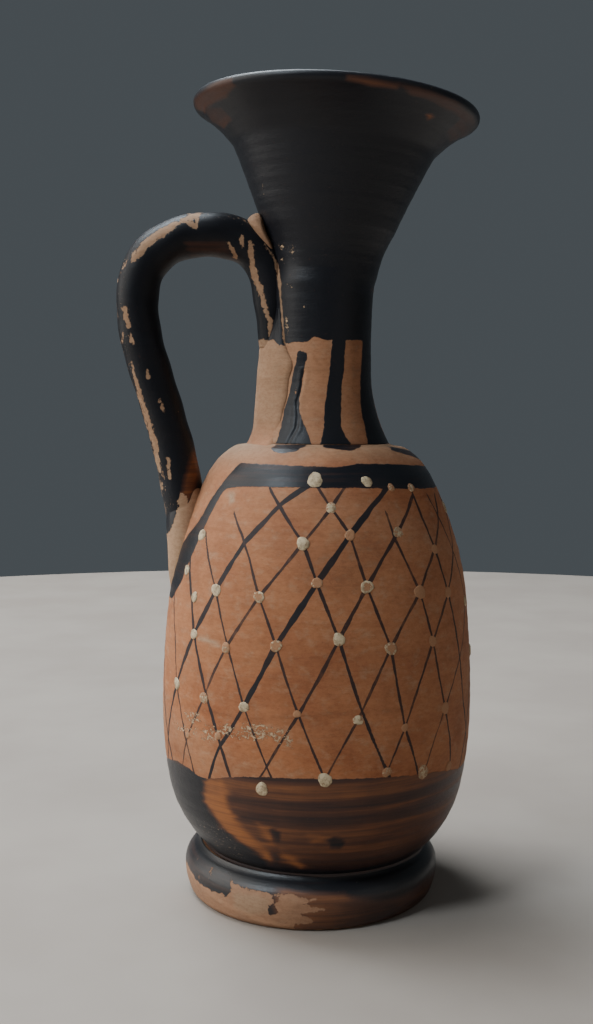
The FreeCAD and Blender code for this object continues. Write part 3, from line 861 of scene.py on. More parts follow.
def white_paint(name, colours):
    """Thick creamy paint, cracked and rubbed.

    The first number of 'dab' is how worn a dab is, the second its distance from the middle as a
    share, and the third is 1 where the middle is hollow.
    """
    finish = Finish(name)
    worn, middle, hollow = finish.fields("dab")
    grain = finish.noise(0.45, detail=6.0, rough=0.7, offset=31.0)
    cloud = finish.noise(1.3, detail=4.0, rough=0.6, offset=37.0)
    white = finish.mix(finish.step(cloud, 0.40, 0.66), tuple(colours.white_paint), tuple(colours.old_paint))
    dark = finish.mix(1.0, white, (0.42, 0.33, 0.25), "MULTIPLY")
    colour = finish.mix(finish.times(finish.step(grain, 0.52, 0.66), 0.8), white, dark)
    lost = finish.plus(finish.times(worn, 0.55), finish.times(middle, 0.10))
    lost = finish.plus(lost, finish.times(hollow, finish.spread(middle, 0.0, 0.75, 0.55, 0.0)))
    lost = finish.step(finish.plus(grain, lost), 0.80, 0.90)
    stain = tuple(0.62 * a + 0.38 * b for a, b in zip(colours.clay, colours.old_paint))
    colour = finish.mix(lost, colour, stain)
    height = finish.minus(finish.times(cloud, 0.6), finish.times(lost, 0.5))
    return finish.close(colour, 0.72, finish.plus(height, grain), 0.14, specular=0.3)


# Paint of the body, all in pixels of the front view

BAND_TOP = [(170.6, 575.6), (178.4, 552), (199, 521), (212, 497.6), (225, 479.4), (240.8, 462.5),
            (262, 464), (300, 465.5), (330, 467), (343, 466.5), (357, 463.5), (390, 464), (425, 466)]
BAND_BOTTOM = [(172, 599), (181, 583), (190, 560), (201.8, 534), (214.8, 505.4), (222, 493),
               (226.5, 488.5), (235.6, 487), (262, 487), (308, 487.7), (360, 488), (400, 489),
               (433, 487.7)]
ZONE_TOP = [(160, 757), (167, 759.6), (178, 760.6), (190, 768.5), (196, 774.4), (207, 778.4), (225, 777),
            (259, 776.4), (318, 778.4), (358, 778.4), (397, 776.4), (437, 771.5), (458, 768.5)]
ZONE_DEPTHS = [(776, 0.62), (782, 0.72), (786, 0.40), (795, 0.34), (801, 0.42), (804, 0.74), (809, 0.76),
               (812, 0.40), (815, 0.45), (818, 0.82), (825, 0.78), (829, 0.42), (836, 0.36), (842, 0.55),
               (848, 0.42), (855, 0.46), (862, 0.62), (868, 0.82), (876, 1.0)]
LEFT_BLACK = [(209, 776), (205, 783), (203, 793), (208, 807), (219, 822), (238, 840), (259, 853),
              (266, 862), (262, 874), (225, 866), (190, 838), (160, 790), (150, 750), (190, 768)]
FLAME = [(209, 779), (222, 780), (228, 791), (229, 807), (241, 824), (256, 840), (274, 851), (272, 864),
         (259, 853), (238, 840), (219, 822), (208, 807), (203, 793), (205, 783)]
ORANGE_PATCHES = [
    [(259, 825), (268, 828), (274, 838), (272, 843), (262, 836)],
    [(281, 851), (296, 856), (305, 866), (303, 873), (297, 868), (288, 862), (280, 857)],
    [(310, 838), (322, 838), (325, 842), (312, 843)],
]
DARK_BLOTCHES = [
    [(261, 849), (272, 850), (281, 857), (279, 866), (268, 864), (260, 856)],
    [(270, 828), (280, 832), (281, 842), (273, 841)],
    [(327, 840), (334, 837), (342, 838), (346, 843), (341, 848), (331, 848)],
]
PALE_SMEARS = [
    [(197, 636), (205, 637), (215, 641), (222, 645), (219, 647), (208, 643), (198, 640)],
    [(228.5, 492), (234, 493), (234.5, 503), (229.5, 504)],
]
CHIPPED_BAND = [(172, 718), (200, 722), (230, 724), (262, 722), (290, 727), (294, 736), (290, 744),
                (260, 742), (225, 742), (195, 740), (176, 734)]
CRUMBS = [
    [(184, 711), (199, 712), (203, 723), (190, 726)], [(201, 727), (213, 728), (215, 741), (203, 743)],
    [(220, 722), (236, 725), (235, 736), (219, 734)], [(240, 724), (262, 722), (274, 734), (262, 742),
     (243, 739)],
    [(268, 730), (291, 736), (294, 748), (276, 745)],
]
CHIPPED_LEFT = [(198, 820), (222, 826), (240, 845), (248, 860), (226, 856), (208, 840)]
DUSKY_PATCH = [(300, 562), (328, 545), (372, 528), (384, 558), (345, 602), (302, 592)]
INCISED_LINE = [(172, 703), (190, 706), (209, 712), (225, 714), (240, 719), (260, 719), (279, 718),
                (310, 715), (345, 713), (380, 712)]
SHOULDER_MARKS = [
    [(271, 448.5), (276, 444.6), (307, 444.6), (298, 451), (282, 453.6), (273.6, 451.5)],
    [(321, 444.2), (350, 444.2), (354.8, 449.4), (351, 451), (338, 449.5), (326, 448)],
    [(386, 446), (398, 448), (410, 451), (422, 458), (430, 466), (420, 460), (404, 454), (391, 450.5)],
]
# Turns by which the middle mark, and the neck's tongue above it, is repeated behind
MARK_SHIFTS = (97.0, 147.0, 196.0)
# Strokes that rise to the right and those that fall to the right: pixels, width in millimetres, ink
RISING = [
    ([(314, 482), (298, 492), (280, 505), (263, 523), (246, 541), (231, 564), (216, 590), (205, 612),
      (194, 634), (185, 658), (177, 684)], 0.84, 0.98),
    ([(347, 484), (339, 495), (331, 508), (303, 543), (283, 568), (259, 597), (242, 622), (226, 648),
      (214, 672), (204, 698), (195, 718), (188, 735), (183, 765)], 0.50, 0.66),
    ([(387, 487), (370, 508), (350, 535), (333, 560), (317, 583), (295, 617), (276, 646), (260, 677),
      (244, 707), (230, 731), (218, 750), (209, 780)], 0.92, 1.0),
    ([(412, 496), (397, 532), (382, 560), (367, 587), (353, 613), (339, 640), (320, 677), (298, 716),
      (282, 741), (265, 770), (246, 800)], 0.62, 0.70),
    ([(438, 520), (434, 548), (427, 570), (420, 592), (405, 620), (391, 648), (374, 685), (358, 720),
      (340, 752), (325, 780), (308, 812), (300, 833)], 0.52, 0.62),
    ([(452, 545), (448, 592), (441, 617), (433, 641), (419, 685), (405, 728), (387, 772),
      (378, 795)], 0.50, 0.62),
    ([(463, 640), (456, 672), (445, 708), (434, 740), (424, 772), (418, 792)], 0.44, 0.52),
]
FALLING = [
    ([(174, 610), (175.5, 640), (177, 684), (181, 710), (185, 735), (190, 755), (195, 775)], 0.42, 0.70),
    ([(190, 567), (192, 600), (194, 634), (199, 662), (205, 690), (211, 712), (218, 736), (225, 760),
      (232, 782)], 0.62, 0.92),
    ([(206, 533), (216, 590), (228, 648), (236, 678), (244, 707), (251, 727), (258, 745),
      (272, 779)], 0.36, 0.80),
    ([(234, 513), (242, 535), (250, 560), (259, 597), (267, 620), (276, 646), (286, 680), (298, 714),
      (311, 747), (325, 780), (334, 800)], 0.40, 0.74),
    ([(270, 488), (281, 508), (303, 543), (310, 563), (317, 583), (328, 612), (339, 640), (349, 672),
      (358, 700), (372, 737), (387, 772), (394, 785)], 0.52, 0.82),
    ([(316, 484), (331, 508), (340, 520), (350, 535), (358, 560), (367, 587), (379, 618), (391, 648),
      (398, 690), (405, 728), (412, 750), (418, 775)], 0.46, 0.72),
    ([(386, 513), (394, 538), (408, 566), (420, 592), (427, 617), (433, 641), (439, 675), (445, 708),
      (450, 740), (450, 768)], 0.44, 0.66),
    ([(411, 490), (421, 516), (434, 548), (442, 572), (448, 592), (455, 625), (460, 660),
      (463, 700)], 0.50, 0.74),
]
# Dabs: pixel, radius in millimetres, wear, hollow middle
DABS = [
    (315, 480, 1.5, 0.0, 0), (366.6, 481.5, 1.1, 0.25, 0), (391, 487.6, 0.8, 0.7, 0),
    (411, 487.6, 0.9, 0.6, 0), (202, 535, 1.15, 0.1, 0), (303, 543.5, 1.2, 0.05, 0),
    (331, 508, 1.05, 0.45, 0), (350, 535, 1.0, 0.6, 1), (397.6, 532, 1.15, 0.5, 0),
    (434, 547.5, 1.3, 0.9, 0), (187, 570, 1.0, 0.4, 0), (216, 590, 1.15, 0.2, 0),
    (194.6, 597, 1.0, 0.35, 0), (259, 597, 1.05, 0.4, 1), (317, 583, 1.0, 0.6, 1),
    (367, 587, 1.2, 0.35, 1), (420, 592, 1.3, 0.95, 0), (448, 592, 1.1, 0.9, 0),
    (194, 634, 1.0, 0.3, 0), (226, 648, 1.0, 0.6, 0), (276, 646, 1.1, 0.5, 1),
    (339, 639.5, 1.15, 0.25, 0), (391, 648.5, 1.2, 0.45, 1), (432.7, 641, 1.0, 0.85, 1),
    (177, 683.5, 1.15, 0.2, 0), (204, 698, 1.1, 0.55, 0), (244, 707, 1.0, 0.35, 0),
    (297, 714, 0.7, 0.95, 0), (358, 720, 0.95, 0.4, 0), (404.6, 727.6, 0.75, 0.95, 0),
    (445, 708, 1.2, 0.85, 0), (188, 735, 0.7, 0.7, 0), (218, 736, 0.75, 0.65, 0),
    (262, 789, 1.25, 0.3, 0), (325, 780, 1.3, 0.2, 0), (386.7, 772, 0.95, 0.6, 0),
    (423, 772, 1.35, 0.55, 0), (448.6, 766, 1.0, 0.85, 0),
]


# Levels of the body in millimetres, and the row of them that lies at the net's middle
LEVELS = np.linspace(0.0, 72.0, 145)
NET_MIDDLE = 40.0
MIDDLE_ROW = 80
# Levels between which unseen strokes run, the turn from which a seen stroke runs on out of sight,
# and the degrees between strokes
NET_FOOT, NET_TOP = 13.2, 63.5
LIMB_TURN = 58.0
NET_SPACING = 19.0


class Strokes:
    """One direction of the net: where each stroke stands at every height of the body.

    A seen stroke follows its pixels and runs on past them with the family's own slope; unseen
    ones are set evenly in the rest of the turn. Turn = start + a (h - 40) + b (h - 40)^2.
    """

    def __init__(self, wheel, lines, slope, growth, seed):
        rise = LEVELS - NET_MIDDLE
        self.base = slope * rise + growth * rise ** 2
        strokes = [self.seen(wheel, *line) for line in lines]
        strokes.sort(key=lambda stroke: stroke[0][MIDDLE_ROW])
        first, last = strokes[0][0][MIDDLE_ROW], strokes[-1][0][MIDDLE_ROW]
        gap = first + 360.0 - last
        count = int(round(gap / NET_SPACING))
        for place in range(1, count - (slope > 0)):
            strokes.append(self.unseen(last + gap * place / count, place, seed))
        turns, half, ink, low, high = zip(*strokes)
        self.turns = np.array(turns)
        self.half = np.array(half)
        self.ink = np.array(ink)
        self.low = np.array(low)
        self.high = np.array(high)
        self.taper = 0.45 if slope > 0 else 0.12

    def seen(self, wheel, pixels, width, ink):
        """Turn at every level, half width, ink, foot and top of a stroke that follows its pixels."""
        turns, stations = wheel.seen_at(pixels)
        heights = wheel.height_at(stations)
        order = np.argsort(heights)
        heights, turns = heights[order], turns[order]
        off = turns - np.interp(heights, LEVELS, self.base)
        low = NET_FOOT if abs(turns[0]) > LIMB_TURN else heights[0] - 0.2
        high = NET_TOP if abs(turns[-1]) > LIMB_TURN else heights[-1] + 0.3
        return self.base + np.interp(LEVELS, heights, off), width / 2, ink, low, high

    def unseen(self, turn, place, seed):
        """The same of a stroke that stands at a turn on the side away from the camera."""
        shift = turn + 1.6 * math.sin(seed + 2.1 * place)
        sway = 1.1 * np.sin(LEVELS / 9.0 + seed * place)
        half = 0.28 + 0.09 * math.sin(seed * 1.3 + 1.7 * place)
        ink = 0.78 + 0.18 * math.sin(seed + 2.9 * place)
        return self.base - self.base[MIDDLE_ROW] + shift + sway, half, ink, NET_FOOT, NET_TOP

    def count_fields(self, wheel, stations, turns):
        """Stroke count, spacing in millimetres and half width, and the ink, over rows and columns."""
        heights = wheel.height_at(stations)
        at = np.array([np.interp(heights, LEVELS, line) for line in self.turns]).T
        at = np.maximum.accumulate(at + 1e-3 * np.arange(at.shape[1]), axis=1)
        total = at.shape[1]
        places = np.arange(-total, 2 * total)
        scale = np.radians(1.0) * wheel.radius_at(stations)
        rows = []
        for row, ring in enumerate(at):
            ring = np.concatenate([ring - 360.0, ring, ring + 360.0])
            rows.append(np.interp(turns, ring, places))
        count = np.array(rows)
        low = np.floor(count).astype(int)
        row = np.arange(len(at))[:, None]
        start = at[row, low % total] + 360.0 * (low // total)
        end = at[row, (low + 1) % total] + 360.0 * ((low + 1) // total)
        rate = np.gradient(at, axis=0) / np.gradient(stations)[:, None]
        nearest = np.round(count).astype(int) % total
        slant = 1.0 / np.sqrt(1.0 + (rate[row, nearest] * scale[:, None]) ** 2)
        spacing = (end - start) * scale[:, None] * slant
        height = heights[:, None]
        there = smooth(height, self.low[nearest] - 0.9, self.low[nearest] + 0.5)
        there = there * (1.0 - smooth(height, self.high[nearest] - 0.4, self.high[nearest] + 0.8))
        sway = 1.0 + 0.18 * np.sin(height * 0.9 + nearest * 2.3) + 0.08 * np.sin(height * 2.7 + nearest)
        sway = sway * (1.0 - self.taper * smooth(44.0 - height, 0.0, 30.0))
        half = (self.half[nearest] * sway + 0.03) * there - 0.25 * (1.0 - there)
        ink = self.ink[nearest] * (1.0 + 0.08 * np.sin(height * 0.5 + nearest * 1.9))
        return np.stack([count, spacing, half], axis=-1), ink

    def turn_at(self, index, height):
        """Turn of one stroke at a height."""
        return np.interp(height, LEVELS, self.turns[index])


def net_of(wheel):
    """Both directions of the net."""
    return Strokes(wheel, RISING, 1.25, 0.012, 0.4), Strokes(wheel, FALLING, -0.85, 0.0, 1.9)


def band_sides(patch):
    """How far points lie below the shoulder band's top and above its bottom.

    The band runs down round the handle, the same on both sides of it.
    """
    from_handle = np.abs(wrap(patch.turn - HANDLE_TURN))
    edges = []
    for pixels in (BAND_TOP, BAND_BOTTOM):
        turns, stations = patch.wheel.seen_at(pixels)
        turns = wrap(turns - HANDLE_TURN)
        order = np.argsort(turns)
        grid = np.linspace(0.0, 180.0, 361)
        line = np.interp(grid, turns[order], stations[order])
        line = np.convolve(np.pad(line, 2, mode="edge"), np.ones(5) / 5, mode="valid")
        level = np.interp(from_handle, grid, line)
        steep = np.interp(from_handle, grid, np.gradient(line, grid))
        edges.append((level, np.sqrt(1.0 + (steep / patch.scale) ** 2)))
    (top, top_steep), (bottom, bottom_steep) = edges
    return (top - patch.station) / top_steep, (patch.station - bottom) / bottom_steep


def base_depth(patch, hidden):
    """How deeply the slip of the body's base fired: level streaks, blotches and orange flames."""
    lines, levels = np.array(ZONE_DEPTHS).T
    _, at = patch.wheel.seen_at(np.column_stack([np.full(len(lines), 311.0), lines]))
    order = np.argsort(at)
    shifted = patch.station + 0.25 * waves(patch.turn, 0.0, 10.0, 2.2) - 0.012 * patch.turn
    depth = np.interp(shifted, at[order], levels[order])
    depth = depth + 0.12 * smooth(patch.turn, 20.0, 75.0) * (1 - depth)
    behind = hidden * (0.75 + 0.25 * waves(patch.turn, patch.station, 6.0, 3.0))
    solid = np.maximum(smooth(patch.inside(LEFT_BLACK), -0.5, 0.5), behind)
    solid = np.maximum(solid, smooth(-patch.turn, 70.0, 80.0))
    depth = depth + (1.05 - depth) * np.clip(solid, 0.0, 1.0)
    for blotch in DARK_BLOTCHES:
        depth = np.maximum(depth, 0.95 * smooth(patch.inside(blotch), -0.6, 0.4))
    ragged = 0.5 * waves(patch.turn * 7, patch.station * 3, 5.0, 2.0)
    for flame in [FLAME] + ORANGE_PATCHES:
        light = smooth(patch.inside(flame) + ragged, -1.0, 1.1)
        depth = depth * (1.0 - light) + 0.10 * light
    return np.maximum(depth, 1.15 * smooth(2.4 - patch.station, 0.0, 1.2))


def body_tone(patch):
    """Paleness, dirt and flecks of the body's clay; the paleness also paints light and the dirt also paints
    shade.
    """
    wheel = patch.wheel
    near_top = smooth(patch.station, wheel.station_at(66.0), wheel.path[-1])
    by_handle = smooth(-patch.turn, 40.0, 90.0) * smooth(patch.station, 40.0, 70.0)
    # Paler towards the top and on the upper handle side: painted light from above and from the left.
    pale = 0.08 + 0.68 * near_top + 0.20 * by_handle
    pale = pale + 0.10 * waves(patch.turn, patch.station, 22.0, 4.0)
    for smear in PALE_SMEARS:
        pale = pale + 0.8 * smooth(patch.inside(smear), -0.3, 0.3)
    grime_and_shade = 0.08 + 0.10 * waves(patch.turn, patch.station, 30.0, 5.0)
    # Darker along the incised line: painted shade of a groove that the wall does not cut.
    groove = patch.above(INCISED_LINE)
    sides = smooth(patch.turn, -100.0, -85.0) * (1 - smooth(patch.turn, 25.0, 40.0))
    cut_line = sides * np.exp(-(groove / 0.45) ** 2)
    grime_and_shade = grime_and_shade + 0.30 * cut_line + 0.28 * smooth(patch.inside(DUSKY_PATCH), -2.5, 2.5)
    # Darker at the foot of the wall: painted shade in the groove above the foot.
    grime_and_shade = grime_and_shade + 0.6 * smooth(1.2 - patch.station, 0.0, 1.2)
    flecks = smooth(patch.inside(CHIPPED_BAND), -0.6, 1.6) + 0.10
    flecks = flecks * (0.62 + 0.38 * waves(patch.turn * 9, patch.station * 2, 3.0, 1.0))
    for crumbs in CRUMBS:
        flecks = np.maximum(flecks, 0.95 * smooth(patch.inside(crumbs), -0.5, 0.5))
    flecks = flecks + 0.30 * smooth(patch.inside(CHIPPED_LEFT), -0.9, 0.8)
    return np.clip(pale, 0, 1), np.clip(grime_and_shade, 0, 1), flecks


def body_paint(thing, wheel, stations, turns, first_row):
    """Paint fields of the body: band, net, streaked lower zone with its flame, chips, dirt, and painted light
    and shade.
    """
    patch = Patch(wheel, turns[None, :], stations[:, None])
    below_top, above_bottom = band_sides(patch)
    band = np.minimum(below_top, above_bottom)
    hidden = smooth(np.abs(patch.turn), 85.0, 110.0)
    zone = patch.above(ZONE_TOP, flip=True) + 0.5 * waves(patch.turn, 0.0, 9.0, 1.0) * hidden
    cover = np.maximum(band, zone)
    depth = np.where(band > zone, 1.0, base_depth(patch, hidden))
    wear = 0.05 + 0.14 * smooth(patch.inside(CHIPPED_LEFT), -0.5, 1.0)
    marks = [(mark, 0.0) for mark in SHOULDER_MARKS]
    marks += [(SHOULDER_MARKS[1], shift) for shift in MARK_SHIFTS]
    for mark, shift in marks:
        inside = patch.inside(mark, shift)
        depth = np.where(inside > cover, 0.95, depth)
        cover = np.maximum(cover, inside)
    rising, falling = net_of(wheel)
    closing = np.append(turns, turns[0] + 360.0)
    up, up_ink = rising.count_fields(wheel, stations, closing)
    down, down_ink = falling.count_fields(wheel, stations, closing)
    past_band = smooth(above_bottom, 0.5, 1.3)
    past_band = np.concatenate([past_band, past_band[:, :1]], axis=1)
    up[..., 2] -= past_band
    down[..., 2] -= past_band
    paint_points(thing, "paint", (cover, np.clip(depth, 0, 1.2), wear), (-5.0, 1.0, 0.0), first_row)
    paint_points(thing, "tone", body_tone(patch), (0.3, 0.5, 0.0), first_row)
    paint_points(thing, "ink", (up_ink[:, :-1], down_ink[:, :-1], 0.0), first_row=first_row)
    paint_corners(thing, "rising", up, FAR_OFF, first_row)
    paint_corners(thing, "falling", down, FAR_OFF, first_row)


def build_body(sizes, colours):
    """The thrown body: its profile is turned once round, with the hollow inside and the tenon below."""
    wheel = body_wheel(sizes)
    outside, turns, radius, height = turned(wheel, sizes.body_rows, sizes.body_columns)
    lines = 0.022 * np.sin(outside * 2.1) + 0.012 * np.sin(outside * 4.7 + 1.0)
    uneven = 0.07 * waves(turns[None, :], outside[:, None], 30.0, 0.5)
    fade = fade_at_ends(wheel, outside, (0.0, 4.0), (5.0, 2.0))
    radius = radius + (lines[:, None] + uneven) * fade[:, None]
    patch = Patch(wheel, turns[None, :], outside[:, None])
    chipped = smooth(patch.inside(CHIPPED_BAND), -0.3, 1.0)
    coarse = waves(patch.turn * 21, patch.station * 3, 3.0, 7.0)
    fine = waves(patch.turn * 17, patch.station * 5, 4.0, 2.0)
    radius = radius - 0.20 * chipped * np.maximum(coarse * fine, 0)
    belly, tall = wheel.radii.max() - WALL, sizes.body_height / MM
    below = [(HUB_RADIUS, -TENON_DEPTH), (TENON_RADIUS - 0.1, -TENON_DEPTH),
             (TENON_RADIUS, -3.6), (TENON_RADIUS, -0.02), (20.0, -0.02)]
    inner = arcs([(belly * wide, FLOOR + (tall - FLOOR - ROOF) * high) for wide, high in BODY_SHARES], 6)
    above = [(12.3, tall + 0.1), (8.65, tall), (8.6, tall - ROOF),
             *inner[::-1], (8.0, FLOOR), (HUB_RADIUS, FLOOR)]
    thing = skin("painted_body", closed_points(wheel, turns, below, (radius, height), above))
    body_paint(thing, wheel, outside, turns, len(below))
    finish = painted_clay("net_painted_clay", colours, net=True, gloss=0.35, specular=0.30)
    finish_piece(thing, finish, "net_painted_clay", "body")


# Paint of the neck
NECK_BLACK_EDGE = [(258.5, 343), (268, 345), (278.5, 346), (286, 344), (293, 343), (307.6, 342),
                   (311, 339), (314.8, 337), (318, 338), (322, 340), (371, 341)]
TONGUE_LEFT = [(298.5, 351), (307.6, 353), (307, 358), (304.5, 367), (302.7, 376), (301, 388),
               (299.7, 398), (299.7, 412), (302.7, 420), (307.6, 432), (311.2, 444), (312, 447),
               (275, 447), (275.5, 444.5), (280.9, 427), (284.5, 409), (288.2, 399), (291.8, 382),
               (293, 372), (296, 364), (296.7, 354)]
TONGUE_MIDDLE = [(332.4, 336), (345.8, 336), (344, 372), (341.5, 385), (340.9, 397), (340.9, 427),
                 (345.2, 435.5), (351.2, 444), (353, 447), (320, 447), (320.3, 444), (323.9, 427),
                 (324, 410), (325.8, 397), (327.5, 385), (329.4, 372)]
# Turns by which the middle tongue is repeated to make the broad tongue at the right edge
RIGHT_TONGUE_SHIFTS = (41.5, 48.5, 55.5, 62.0)
TONGUE_CRACK = [(304, 372), (301.5, 388), (297, 402), (298, 416), (296.5, 428), (291, 438), (288, 444)]
SMEAR_EDGE = [(286, 348), (290, 356), (293.8, 365.6), (290.5, 374), (288.3, 382.8), (287.5, 397),
              (285, 405), (282.8, 411), (280, 426), (276.6, 443.8)]


def seen_crease(patch, points):
    """How far wall points lie inside the painted highlight line beside the handle, on the side that is seen.
    """
    crease = picture_distance(points, CREASE, CREASE_WIDTHS)
    return np.where(np.abs(patch.turn) < 95.0, crease, FAR_OFF)


def build_neck(sizes, colours):
    """The thrown neck: a turned tube whose top follows the leaning root of the mouth."""
    wheel = neck_wheel(sizes)
    outside, turns, radius, height = turned(wheel, *NECK_GRID)
    ridges = 0.010 * np.sin(outside * 3.3) + 0.006 * np.sin(outside * 7.1)
    uneven = 0.05 * waves(turns[None, :], outside[:, None], 14.0, 2.0)
    fade = fade_at_ends(wheel, outside, (0.5, 3.0), (3.0, 1.0))
    radius = radius + fade[:, None] * (ridges[:, None] + uneven)
    patch = Patch(wheel, turns[None, :], outside[:, None])
    crack = patch.along(TONGUE_CRACK, 0.4)
    radius = radius - 0.16 * smooth(crack, -0.25, 0.12) + 0.07 * smooth(crack, -1.1, -0.45)
    tilt = math.tan(math.radians(MOUTH_FRAME[2] - NECK_FRAME[2]))
    lean = -(radius * np.cos(np.radians(turns + FRONT)) - MOUTH_SHIFT) * tilt
    height = height + lean * smooth(outside, 12.0, wheel.path[-1])[:, None]
    inner = [(BORE_RADIUS, level) for level in (26.6, 20.0, 10.0, 0.0, -SPIGOT_DEPTH)]
    inner += [(SPIGOT_RADIUS, -SPIGOT_DEPTH), (SPIGOT_RADIUS, -0.05), (12.2, -0.05)]
    points = closed_points(wheel, turns, [], (radius, height), inner)
    thing = skin("painted_neck", points, ring=True)
    cover = patch.above(NECK_BLACK_EDGE)
    behind = smooth(np.abs(patch.turn), 80.0, 100.0)
    cover = cover + 0.5 * behind * waves(patch.turn, 0.0, 6.0, 4.0)
    for tongue in (TONGUE_LEFT, TONGUE_MIDDLE):
        cover = np.maximum(cover, patch.inside(tongue))
    for shift in RIGHT_TONGUE_SHIFTS + MARK_SHIFTS:
        cover = np.maximum(cover, patch.inside(TONGUE_MIDDLE, shift))
    crease = seen_crease(patch, points[:len(outside)])
    cover = np.minimum(cover, -crease)
    flecks = 0.0 * cover
    for chip in NECK_CHIPS:
        flecks = np.maximum(flecks, 0.9 * smooth(patch.inside(chip), -0.3, 0.2))
    depth = np.full(cover.shape, 1.12)
    left = smooth(patch.inside(TONGUE_LEFT), -0.2, 0.6)
    wear = 0.05 + 0.30 * left * smooth(patch.station, 4.0, 10.0)
    by_handle = smooth(-patch.turn, 10.0, 40.0)
    wear = wear + 0.25 * smooth(patch.above([(262, 300), (371, 300)]), 0.0, 6.0) * by_handle
    # Paler towards the handle side and less pale on the right: painted light from the left, painted shade on
    # the right.
    pale = 0.30 + 0.25 * smooth(-patch.turn, -10.0, 40.0) - 0.12 * smooth(patch.turn, 20.0, 60.0)
    # Paler along the crease: painted highlight on the glossy edge.
    pale = pale + 0.6 * smooth(crease, -0.4, 0.1)
    # Darker on the right side: painted shade; the dark line at the foot is the seam.
    grime_and_shade = 0.10 + 0.45 * smooth(patch.turn, 22.0, 45.0) + 0.4 * np.exp(-(patch.station / 0.35) ** 2)
    # Greyed along the crease: part of the same painted highlight.
    grime_and_shade = grime_and_shade + 0.55 * smooth(crease, -0.4, 0.1)
    paint_points(thing, "paint", (cover, depth, wear), (-5.0, 1.0, 0.0))
    paint_points(thing, "tone", (np.clip(pale, 0, 1), np.clip(grime_and_shade, 0, 1), flecks), (0.4, 0.4, 0.0))
    finish = painted_clay("banded_black_gloss", colours, gloss=0.39, specular=0.26)
    finish_piece(thing, finish, "banded_black_gloss", "neck")


# Line where the handle meets mouth and neck, bared to pale clay as a painted highlight on the glossy edge:
# pixels and widths in pixels
CREASE = [(264, 244), (270.5, 252), (275, 260), (277.5, 270), (279, 280), (280, 292), (281, 304),
          (282, 318), (283.5, 332), (284.5, 344)]
CREASE_WIDTHS = [1.2, 2.2, 3.0, 3.2, 2.8, 2.2, 1.8, 1.4, 1.1, 0.8]
LIP_WORN = [
    ([(193, 107), (203, 91), (219, 81), (232, 78), (236, 86), (226, 97), (212, 104), (204, 114)], 0.62),
    ([(347, 75), (372, 79), (398, 85), (397, 89), (372, 86), (347, 80)], 0.45),
    ([(398, 83), (430, 90), (455, 102), (472, 115), (474, 127), (462, 120), (440, 106), (410, 94)], 0.68),
    ([(204, 108), (222, 108), (232, 120), (226, 130), (212, 122)], 0.80),
    ([(426, 114.5), (431, 114.5), (433, 118), (428, 119.5)], 0.12),
    ([(462, 118), (474, 128), (465, 136), (450, 142), (446, 132)], 0.76),
]
MOUTH_SCUFFS = [
    [(268, 240), (288, 239), (299, 246), (297, 262), (282, 264), (273, 256)],
    [(262, 184), (266, 184), (266, 198), (260, 196)],
]
MOUTH_CHIPS = [
    [(289, 283.5), (294, 284), (294.5, 289), (290, 289)], [(277, 245), (283, 243), (285, 248), (280, 251)],
    [(289, 246), (293, 245), (295, 253), (291, 256)], [(281, 256), (285, 256), (284, 262), (281, 262)],
    [(261, 184), (265.5, 185), (265, 188), (261, 187)],
]
NECK_CHIPS = [
    [(285, 318), (288, 318), (289, 336), (286, 338)],
    [(303, 306), (305.5, 306), (305, 311), (303, 310)],
]


